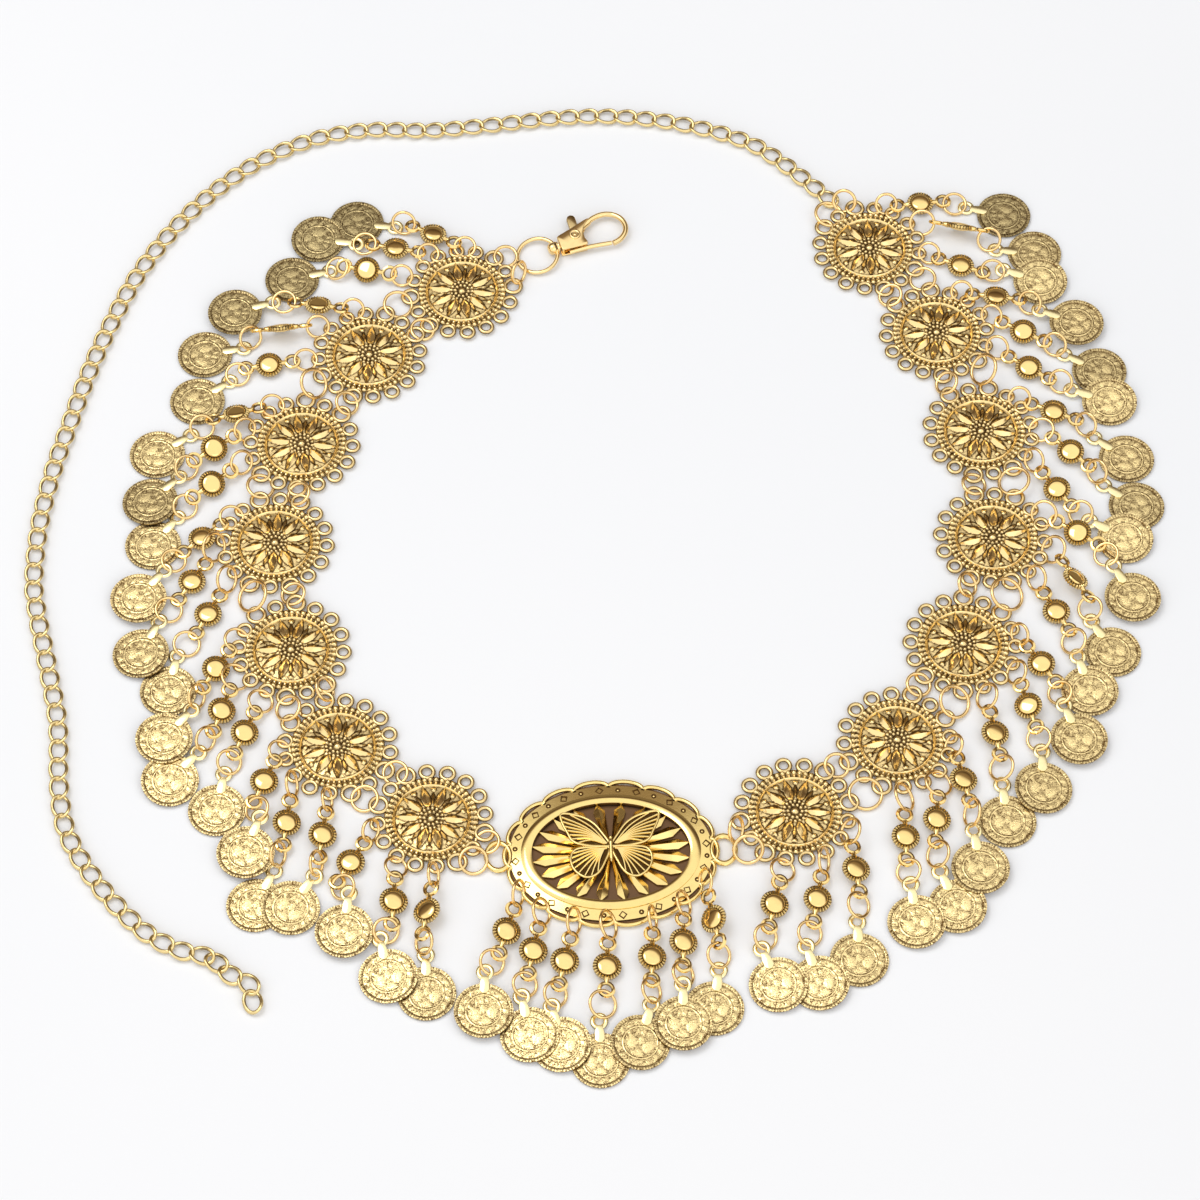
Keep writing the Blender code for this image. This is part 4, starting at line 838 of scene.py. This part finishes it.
for number in range(SCALLOPS):
    start = 2 * math.pi * (number - 0.5) / SCALLOPS
    end = 2 * math.pi * (number + 0.5) / SCALLOPS
    one = oval((RIM_OUTER[0] - 0.2, RIM_OUTER[1] - 0.2), start, 1.0)
    two = oval((RIM_OUTER[0] - 0.2, RIM_OUTER[1] - 0.2), end, 1.0)
    middle = (one + two) / 2
    top = oval(SCALLOP_REACH, (start + end) / 2, 1.0)
    chord = (two - one).length / 2
    rise = (top - middle).length - SCALLOP_WIRE
    across = (two - one).normalized()
    out = (top - middle).normalized()
    arc = wire_loop(10.0, SCALLOP_WIRE, 2 * SCALLOP_TURNS, 8)
    bmesh.ops.bisect_plane(arc, geom=arc.verts[:] + arc.edges[:] + arc.faces[:], plane_co=(0, -0.01, 0),
                           plane_no=(0, 1, 0), clear_inner=True)
    for corner in arc.verts:
        angle = math.atan2(corner.co.y, corner.co.x)
        thick = math.hypot(corner.co.x, corner.co.y) - 10.0
        line = middle + across * chord * math.cos(angle) + out * rise * math.sin(angle)
        away = (across * math.cos(angle) * rise + out * math.sin(angle) * chord).normalized()
        corner.co = line + away * thick + Vector((0.0, 0.0, corner.co.z))
    bmesh.ops.recalc_face_normals(arc, faces=arc.faces)
    add_part(piece, arc, plate_place)
finish_piece("plate_rim", piece, plate_gold, "centre_plate")


# The plate's band: a smooth domed oval pressed up from the same gold sheet and polished bright. It runs
# round the openwork and drops steeply to it on the inside.
band_stations = [(*BAND_OUTER, 1.4)]
for number in range(BAND_PARTS + 1):
    share = number / BAND_PARTS
    crest = 2.0 + 0.65 * math.sin(math.pi * (0.08 + 0.7 * share))
    band_stations.append((*between(BAND_OUTER, BAND_INNER, 1.0 - share), crest))
band_stations.append((*between(BAND_OUTER, BAND_INNER, -0.02), 1.2))
piece = new_piece()
band = oval_band(band_stations, PLATE_STEPS, 0.4)
# The band's walls below its crest, where it drops to the openwork and to the rim, and its underside are
# painted dark as shade.
add_part(piece, band, plate_place, lambda place: 0.9 if place.z < 1.75 else 0.0)
finish_piece("plate_band", piece, plate_gold, "centre_plate")


# A thin dark brown sheet held under the rim, put in as painted shade: it paints the shadow that shows
# between the pierced rays and through the scallops.
SHADE_SHEET_HALF = (32.2, 24.2)
SHADE_SHEET_BROWN = (0.15, 0.085, 0.045)
# The sheet's dark brown is painted shade.
shade_sheet_brown = gold_material("shade_sheet_brown", SHADE_SHEET_BROWN, SHADE_SHEET_BROWN, 0.38, 0.5)
piece = new_piece()
shade_sheet = spun([(1.0, 0.55), (0.0, 0.55), (0.0, 0.35), (1.0, 0.35), (1.0, 0.55)], PLATE_STEPS)
bmesh.ops.scale(shade_sheet, vec=(*SHADE_SHEET_HALF, 1.0), verts=shade_sheet.verts)
add_part(piece, shade_sheet, plate_place, 0.5)
finish_piece("plate_shade_sheet", piece, shade_sheet_brown, "centre_plate")


# Twenty ridged gold rays, cast with the plate and pierced between, run from an oval hub to the band. Each
# widens towards the band and ends in a point.
RAYS = 20
RAY_START = (2.0, 1.4)
RAY_FOOT = 0.5
RAY_EDGE = 1.5
RAY_OUTLINE = (
    # share of the way from hub to band, half width, height of the ridge
    (0.0, 0.3, 2.5),
    (0.45, 1.15, 2.6),
    (0.84, 1.8, 2.4),
    (0.995, 0.12, 1.75),
)
ray_gold = gold_material("ray_gold", PLATE_GOLD, PLATE_PATINA_AND_SHADE, 0.14, 0.5)
piece = new_piece()
for number in range(RAYS):
    angle = 2 * math.pi * (number + 0.5) / RAYS
    foot = oval(RAY_START, angle)
    head = oval(BAND_INNER, angle)
    way = head - foot
    ray = bmesh.new()
    rows = []
    for along, half, crest in RAY_OUTLINE:
        y = along * way.length
        section = ((-half, RAY_FOOT), (-half, RAY_EDGE), (0.0, crest), (half, RAY_EDGE), (half, RAY_FOOT))
        rows.append([ray.verts.new((x, y, z)) for x, z in section])
    for row, following in zip(rows, rows[1:]):
        for side in range(4):
            ray.faces.new((row[side], row[side + 1], following[side + 1], following[side]))
    ray.faces.new(rows[0])
    ray.faces.new(rows[-1])
    bmesh.ops.recalc_face_normals(ray, faces=ray.faces)
    ray_place = plate_place @ Matrix.Translation(foot) @ turned_to(way, Vector((0, 0, 1)))
    # Each ray's sides are painted dark towards its foot as shade in the gaps.
    add_part(piece, ray, ray_place, lambda place: 0.95 if place.z < 1.0 else 0.0)
hub = spun([(0.0, 3.1), (2.2, 3.0), (2.9, 2.6), (3.1, 2.0), (3.1, 0.5), (0.0, 0.5)], 32)
bmesh.ops.scale(hub, vec=(1.0, 0.72, 1.0), verts=hub.verts)
add_part(piece, hub, plate_place, 0.5)
finish_piece("plate_rays", piece, ray_gold, "centre_plate")


# The plate's lugs: an oval eye of thick gold wire soldered under the rim at each end. The belt's link rings
# pass through them.
LUG_REACH = 34.8
LUG_EYE = 2.6
piece = new_piece()
for side in (-1, 1):
    lug = wire_loop(4.8, 0.95, 32, 8, 0.8)
    bmesh.ops.scale(lug, vec=(0.78, 1.0, 1.0), verts=lug.verts)
    add_part(piece, lug, plate_place @ Matrix.Translation((side * LUG_REACH, 0.0, 1.0)))
left_lug_eye = plate_place @ Vector((-LUG_REACH - LUG_EYE, 0.0, 1.0))
finish_piece("plate_lugs", piece, plate_gold, "centre_plate")


# The butterfly: one thin casting in gold-plated alloy, riveted on the rays. Raised outlines and veins stand
# on dark wings, and the body between them is round and jointed.
WING_UPPER = ((0.6, 1.2), (2.2, 3.9), (5.1, 7.9), (9.2, 10.5), (14.6, 11.6), (15.0, 9.2), (13.3, 5.0),
              (11.4, 1.7), (6.7, 0.2), (0.6, -0.1))
WING_LOWER = ((0.6, -0.6), (5.5, -0.3), (10.9, -1.0), (12.5, -4.4), (11.3, -8.2), (8.0, -10.6), (4.4, -9.4),
              (1.8, -5.0))
UPPER_TIPS = ((12.2, 11.0), (14.9, 10.4), (15.0, 8.9), (14.4, 7.2), (13.7, 5.7), (12.8, 4.1), (11.9, 2.6),
              (10.2, 1.2))
LOWER_TIPS = ((11.9, -2.3), (12.5, -4.0), (12.2, -5.8), (11.6, -7.6), (10.2, -9.2), (8.4, -10.3),
              (6.3, -10.2), (4.3, -9.2))
OUTLINE_WIRE = 0.42
VEIN_WIRE = 0.33
VEIN_HEIGHT = 0.3
butterfly_place = plate_place @ Matrix.Translation((0.0, 1.0, 3.7))
wing_gold = gold_material("wing_gold", PLATE_GOLD, PATINA_AND_SHADE, 0.14, 0.5, grain=0.04)


def smooth_line(points, count, closed):
    """Evenly counted places along a smooth curve through points."""
    line = []
    total = len(points) if closed else len(points) - 1
    for number in range(count):
        place = number * total / (count if closed else count - 1)
        index = min(int(place), total - 1)
        share = place - index
        near = []
        for shift in (-1, 0, 1, 2):
            picked = index + shift
            picked = picked % len(points) if closed else min(max(picked, 0), len(points) - 1)
            near.append(Vector(points[picked]))
        a, b, c, d = near
        line.append(0.5 * (2 * b + (c - a) * share + (2 * a - 5 * b + 4 * c - d) * share ** 2
                           + (3 * b - a - 3 * c + d) * share ** 3))
    return line


def bent_wire(line, radius, sides=6, closed=False):
    """A wire bent through places, made as a curve and turned into a mesh."""
    curve = bpy.data.curves.new("wire", "CURVE")
    curve.dimensions = "3D"
    curve.bevel_depth = radius
    curve.bevel_resolution = max(0, sides // 2 - 2)
    curve.use_fill_caps = not closed
    spline = curve.splines.new("POLY")
    spline.points.add(len(line) - 1)
    spline.use_cyclic_u = closed
    for point, place in zip(spline.points, line):
        point.co = (place.x, place.y, place.z, 1.0)
    holder = bpy.data.objects.new("wire", curve)
    bpy.context.scene.collection.objects.link(holder)
    mesh = bpy.data.meshes.new_from_object(holder.evaluated_get(bpy.context.evaluated_depsgraph_get()))
    bpy.data.objects.remove(holder, do_unlink=True)
    shape = bmesh.new()
    shape.from_mesh(mesh)
    bpy.data.meshes.remove(mesh)
    bmesh.ops.remove_doubles(shape, verts=shape.verts, dist=0.0005)
    bmesh.ops.recalc_face_normals(shape, faces=shape.faces)
    return shape


piece = new_piece()
for mirror in (-1, 1):
    for outline, tips, root_height, bow in ((WING_UPPER, UPPER_TIPS, 0.7, 1.1),
                                            (WING_LOWER, LOWER_TIPS, -0.9, 0.5)):
        edge = [Vector((mirror * place[0], place[1], 0.35)) for place in
                smooth_line([(*point, 0.0) for point in outline], 48, True)]
        add_part(piece, flat_sheet([place.xy for place in edge], -0.2, 0.3), butterfly_place, 1.0)
        add_part(piece, bent_wire(edge, OUTLINE_WIRE, 8, True), butterfly_place)
        for number, tip in enumerate(tips):
            root = Vector((mirror * (1.2 + 0.12 * number), root_height, VEIN_HEIGHT))
            end = Vector((mirror * tip[0], tip[1], VEIN_HEIGHT))
            side = (end - root).cross(Vector((0, 0, mirror))).normalized()
            middle = (root + end) / 2 - side * bow + Vector((0, 0, 0.12))
            vein = bent_wire(smooth_line([root, middle, end], 9, False), VEIN_WIRE, 6)
            add_part(piece, vein, butterfly_place)
insect_body = spun([(0.0, 3.3), (0.5, 3.1), (0.66, 2.6), (0.45, 2.15), (0.75, 1.7), (0.85, 0.8), (0.6, -0.2),
                    (0.75, -1.2), (0.62, -2.2), (0.66, -3.2), (0.5, -4.4), (0.3, -5.4), (0.0, -5.8)], 16)
laid_down = Matrix.Translation((0, 0, 0.55)) @ Matrix.Rotation(-math.pi / 2, 4, "X")
add_part(piece, insect_body, butterfly_place @ laid_down, 0.15)
finish_piece("butterfly_wings", piece, wing_gold, "butterfly")


# Jump rings of plated wire link each rosette to the next through two pairs of loops. The last two on the
# right carry the extender chain, the plate's lugs take two each, and two on the left hold the clasp's ring.
LINK_WIRE = 0.58
LINK_LEAST = 3.75
LINK_TURNS = (0.2, 0.55, 0.15, 0.4, 0.3)
LINK_SHARES = {"R1": (0.9, 0.15), "L7": (0.3, 0.15)}
LUG_RING_PICTURE = (731.0, 851.0)
CLASP_RING_PICTURE = (537.5, 255.5)
CLASP_RING_RADIUS = 6.8
CHAIN_ROUTE = ((828, 199), (815, 188.5), (773, 157), (739, 139.6), (683, 125), (624, 117.7), (566, 118),
               (489, 126), (430, 131), (371, 130.6), (316, 139.4), (261, 161.4), (214, 192.4), (173, 230.8),
               (139, 274), (113, 320.7), (90, 370.6), (71, 421.5), (53, 472.2), (39.5, 526.4), (34, 579.6),
               (37.3, 614.3), (48.2, 670), (57.9, 725), (59.2, 789), (68.4, 837), (98.7, 885.4),
               (138.8, 927.6), (172.7, 948), (201, 955.6), (217, 957.2), (217, 968), (234.9, 977.3),
               (253.4, 988), (252.8, 1002))
CHAIN_LINKS = 88
FIRST_LINK_HOLE = 2.4


def chain_places():
    """Evenly spaced middles of the links along the chain's route, and their headings."""
    points = [on_table(*place) for place in CHAIN_ROUTE]
    line = smooth_line(points, 1400, False)
    lengths = [0.0]
    for one, two in zip(line, line[1:]):
        lengths.append(lengths[-1] + (two - one).length)
    found = []
    index = 0
    for number in range(CHAIN_LINKS):
        target = lengths[-1] * number / (CHAIN_LINKS - 1)
        while index < len(line) - 2 and lengths[index + 1] < target:
            index += 1
        share = (target - lengths[index]) / (lengths[index + 1] - lengths[index])
        found.append(line[index].lerp(line[index + 1], share))
    ways = []
    for number in range(CHAIN_LINKS):
        ways.append(flat_way(found[min(number + 1, CHAIN_LINKS - 1)] - found[max(number - 1, 0)]))
    return list(zip(found, ways))


links = chain_places()
clasp_ring_middle = on_table(*CLASP_RING_PICTURE, 1.5)
order = [row[0] for row in MEDALLIONS]
for number, name in enumerate(order):
    piece = new_piece()
    for pair, (near_loop, far_loop) in enumerate(((3, -3), (5, -5))):
        near = loop_place(medallion_centres[name], medallion_outs[name], near_loop)
        if name == "L7":
            far = left_lug_eye + Vector((0.0, -1.5 if pair == 0 else 1.5, 0.0))
        elif name == "R1":
            link, way = links[0]
            far = link - way * FIRST_LINK_HOLE
        else:
            following = order[number + 1]
            far = loop_place(medallion_centres[following], medallion_outs[following], far_loop)
        near.z = far.z = LOOP_HEIGHT
        share = LINK_SHARES[name][pair] if name in LINK_SHARES else LINK_TURNS[(number + 2 * pair) % 5]
        add_part(piece, *jump_ring(near, far, LINK_WIRE, share, LINK_LEAST))
    if name == "R7":
        for loop, shift in ((-5, 1.2), (-3, -1.2)):
            near = on_table(*LUG_RING_PICTURE) + Vector((0.0, shift, 0.0))
            far = loop_place(medallion_centres[name], medallion_outs[name], loop)
            near.z = far.z = LOOP_HEIGHT
            add_part(piece, *jump_ring(near, far, LINK_WIRE, 0.8, LINK_LEAST))
    if name == "L1":
        for loop, turn, share in ((-3, 178.0, 0.15), (-5, 232.0, 0.97)):
            near = loop_place(medallion_centres[name], medallion_outs[name], loop)
            far = clasp_ring_middle + around(math.radians(turn), CLASP_RING_RADIUS)
            near.z = far.z = LOOP_HEIGHT
            add_part(piece, *jump_ring(near, far, LINK_WIRE, share, LINK_LEAST))
    finish_piece("link_rings_" + name, piece, ring_gold, "medallion_" + name)


# The extender: a curb chain of plated wire, each link a twisted oval that lies flat through the next. Its
# free end is folded back on itself where it lies on the table.
CHAIN_WIRE = 0.6
CHAIN_HALF = (3.7, 2.62)
CHAIN_TWIST = 0.085
CHAIN_HEIGHT = 1.35
CHAIN_STRETCHES = 9
CHAIN_END_LINKS = 5
CHAIN_GOLD = (0.90, 0.70, 0.33)
chain_gold = gold_material("chain_gold", CHAIN_GOLD, PATINA_AND_SHADE, 0.2, 0.45, grain=0.1)
curb_link = wire_loop(CHAIN_HALF[1], CHAIN_WIRE, 28, 9)
for corner in curb_link.verts:
    angle = math.atan2(corner.co.y, corner.co.x)
    stretch = CHAIN_HALF[0] - CHAIN_HALF[1]
    corner.co.x += stretch * math.cos(angle)
    corner.co.z += CHAIN_TWIST * corner.co.x * corner.co.y
# The inner side of each link is painted dark as shade where the links pass through each other.
set_tone(shade(curb_link, lambda place: 0.75 if place.xy.length < 2.5 else 0.12), 1.0)
laid = CHAIN_LINKS - CHAIN_END_LINKS
for stretch in range(CHAIN_STRETCHES):
    start = laid * stretch // CHAIN_STRETCHES
    end = laid * (stretch + 1) // CHAIN_STRETCHES
    if stretch == CHAIN_STRETCHES - 1:
        end = CHAIN_LINKS
    piece = new_piece()
    for number in range(start, end):
        centre, way = links[number]
        heading = Matrix.Rotation(math.atan2(way.y, way.x), 4, "Z")
        stamp(piece, curb_link, Matrix.Translation((centre.x, centre.y, CHAIN_HEIGHT)) @ heading)
    finish_piece("curb_links_%02d" % (stretch + 1), piece, chain_gold, "chain_stretch_%02d" % (stretch + 1))


# The clasp's ring and stud: a large ring of thick plated wire, soldered to the head of a turned swivel stud.
# The whole clasp is polished bright gold.
CLASP_AXIS = math.radians(24.0)
CLASP_HEIGHT = 2.25
CLASP_WIRE = 0.7
CLASP_GOLD = (0.95, 0.70, 0.33)
clasp_gold = gold_material("clasp_gold", CLASP_GOLD, PATINA_AND_SHADE, 0.06, 0.4, grain=0.0)
clasp_wire_place = clasp_ring_middle + around(CLASP_AXIS, CLASP_RING_RADIUS)
clasp_turn = Matrix.Rotation(CLASP_AXIS, 4, "Z")
clasp_place = Matrix.Translation((clasp_wire_place.x, clasp_wire_place.y, CLASP_HEIGHT)) @ clasp_turn
along_axis = Matrix.Rotation(math.pi / 2, 4, "Y")
piece = new_piece()
rise = CLASP_HEIGHT - CLASP_WIRE - 0.05
pitch = math.asin(rise / (2 * CLASP_RING_RADIUS))
ring_place = (Matrix.Translation((clasp_ring_middle.x, clasp_ring_middle.y, CLASP_HEIGHT - rise / 2))
              @ clasp_turn @ Matrix.Rotation(-pitch, 4, "Y"))
add_part(piece, wire_loop(CLASP_RING_RADIUS, CLASP_WIRE, 56, 12), ring_place)
stud = spun([(0.0, -2.9), (1.1, -2.8), (1.8, -2.3), (2.1, -1.5), (2.1, -0.7), (1.5, -0.35), (1.5, -0.1),
             (1.95, 0.1), (2.0, 0.55), (1.5, 0.7), (1.55, 0.95), (0.75, 1.0), (0.75, 3.0), (0.95, 3.05),
             (0.95, 3.4), (0.0, 3.5)], 32)
add_part(piece, stud, clasp_place @ along_axis, lambda place: 0.85 if -0.4 < place.z < -0.05 else 0.0)
finish_piece("clasp_ring_and_stud", piece, clasp_gold, "clasp_ring")


# The clasp's hook: two pressed cheeks joined by a base that turns on the stud's shank, with the round hook
# rod set between them and a domed rivet through both. Places are in millimetres from the stud's head.
RIVET = (7.4, 1.0)
CHEEK_GAP = 1.35
CHEEK_WALL = 0.75
CHEEK_OUTLINE = ((1.1, -2.9), (1.4, 2.5), (2.2, 2.9), (7.4, 4.0), (12.2, 5.3), (14.2, 5.6), (12.6, 4.0),
                 (11.2, 2.6), (10.4, 0.9), (10.0, -1.4), (10.3, -3.2), (9.9, -4.1), (4.5, -3.5))
NOSE_ROUTE = ((12.0, 4.4), (13.6, 5.1), (15.4, 5.8), (17.4, 6.2), (19.4, 6.2), (21.4, 5.6), (23.2, 4.4),
              (24.6, 2.5), (25.1, 0.3), (24.8, -1.9), (23.7, -3.8), (22.0, -5.2), (20.3, -5.9), (18.35, -6.2))
NOSE_WIRE = 0.95
NOSE_ROOT = ((10.9, 3.9), (12.2, 4.5), (14.2, 5.3))
NOSE_ROOT_WIRE = 1.25


def flat_cut(outline, thickness, round_edge):
    """A plate cut to an outline, lying about z = 0, with its edges eased."""
    shape = flat_sheet(outline, -thickness / 2, thickness)
    ease_edges(shape, shape.edges[:], round_edge, 3)
    return shape


def level_wire(route, count, radius, sides):
    """A wire that runs smoothly along a flat route."""
    return bent_wire(smooth_line([(x, y, 0.0) for x, y in route], count, False), radius, sides)


piece = new_piece()
for side in (-1, 1):
    cheek_place = clasp_place @ Matrix.Translation((0, 0, side * (CHEEK_GAP + CHEEK_WALL / 2)))
    add_part(piece, flat_cut(CHEEK_OUTLINE, CHEEK_WALL, 0.22), cheek_place)
base = bmesh.new()
bmesh.ops.create_cube(base, size=1.0)
bmesh.ops.scale(base, vec=(0.9, 5.0, 2 * CHEEK_GAP + CHEEK_WALL), verts=base.verts)
ease_edges(base, base.edges[:], 0.25, 2)
add_part(piece, base, clasp_place @ Matrix.Translation((1.9, 0.3, 0)))
add_part(piece, level_wire(NOSE_ROUTE, 44, NOSE_WIRE, 14), clasp_place)
add_part(piece, level_wire(NOSE_ROOT, 6, NOSE_ROOT_WIRE, 12), clasp_place)
rivet_top = spun([(0.0, 0.32), (0.45, 0.3), (0.6, 0.12), (0.95, 0.12), (1.2, 0.42), (1.6, 0.5), (1.9, 0.3),
                  (1.95, 0.0), (0.0, 0.0)], 32)
rivet_place = clasp_place @ Matrix.Translation((*RIVET, 0.0))
add_part(piece, rivet_top, rivet_place @ Matrix.Translation((0.0, 0.0, CHEEK_GAP + CHEEK_WALL)),
         lambda place: 0.5 if 0.5 < place.xy.length < 1.0 else 0.0)
rivet_pin = spun([(0.0, 1.4), (0.84, 1.4), (0.84, -2.0), (0.0, -2.0)], 20)
add_part(piece, rivet_pin, rivet_place, 0.3)
finish_piece("clasp_hook_body", piece, clasp_gold, "clasp_hook", "hook")


# The clasp's gate: a round rod with an eye on the rivet and a flat thumb lever, sprung shut against the
# hook's nose. The lever is a little darker than the rod.
GATE_BAR = ((3.4, -3.7), (8.0, -4.0), (12.0, -4.6), (17.9, -5.85))
GATE_NECK = ((7.6, -0.8), (8.2, -2.4), (9.4, -4.0))
LEVER_OUTLINE = ((6.9, 2.6), (7.5, 7.6), (7.7, 8.9), (8.4, 9.8), (9.5, 10.0), (10.4, 9.4), (10.7, 8.4),
                 (9.7, 2.4))
LEVER_THICKNESS = 1.5
piece = new_piece()
add_part(piece, flat_cut(LEVER_OUTLINE, LEVER_THICKNESS, 0.3), clasp_place, 0.25, 0.8)
hinge_eye = spun([(1.2, -0.9), (2.1, -0.9), (2.2, -0.5), (2.2, 0.5), (2.1, 0.9), (1.2, 0.9), (1.2, -0.9)], 28)
add_part(piece, hinge_eye, rivet_place, 0.2)
add_part(piece, level_wire(GATE_BAR, 24, 0.78, 12), clasp_place)
add_part(piece, level_wire(GATE_NECK, 8, 0.8, 10), clasp_place, 0.15)
finish_piece("clasp_gate_and_lever", piece, clasp_gold, "clasp_gate", "gate")
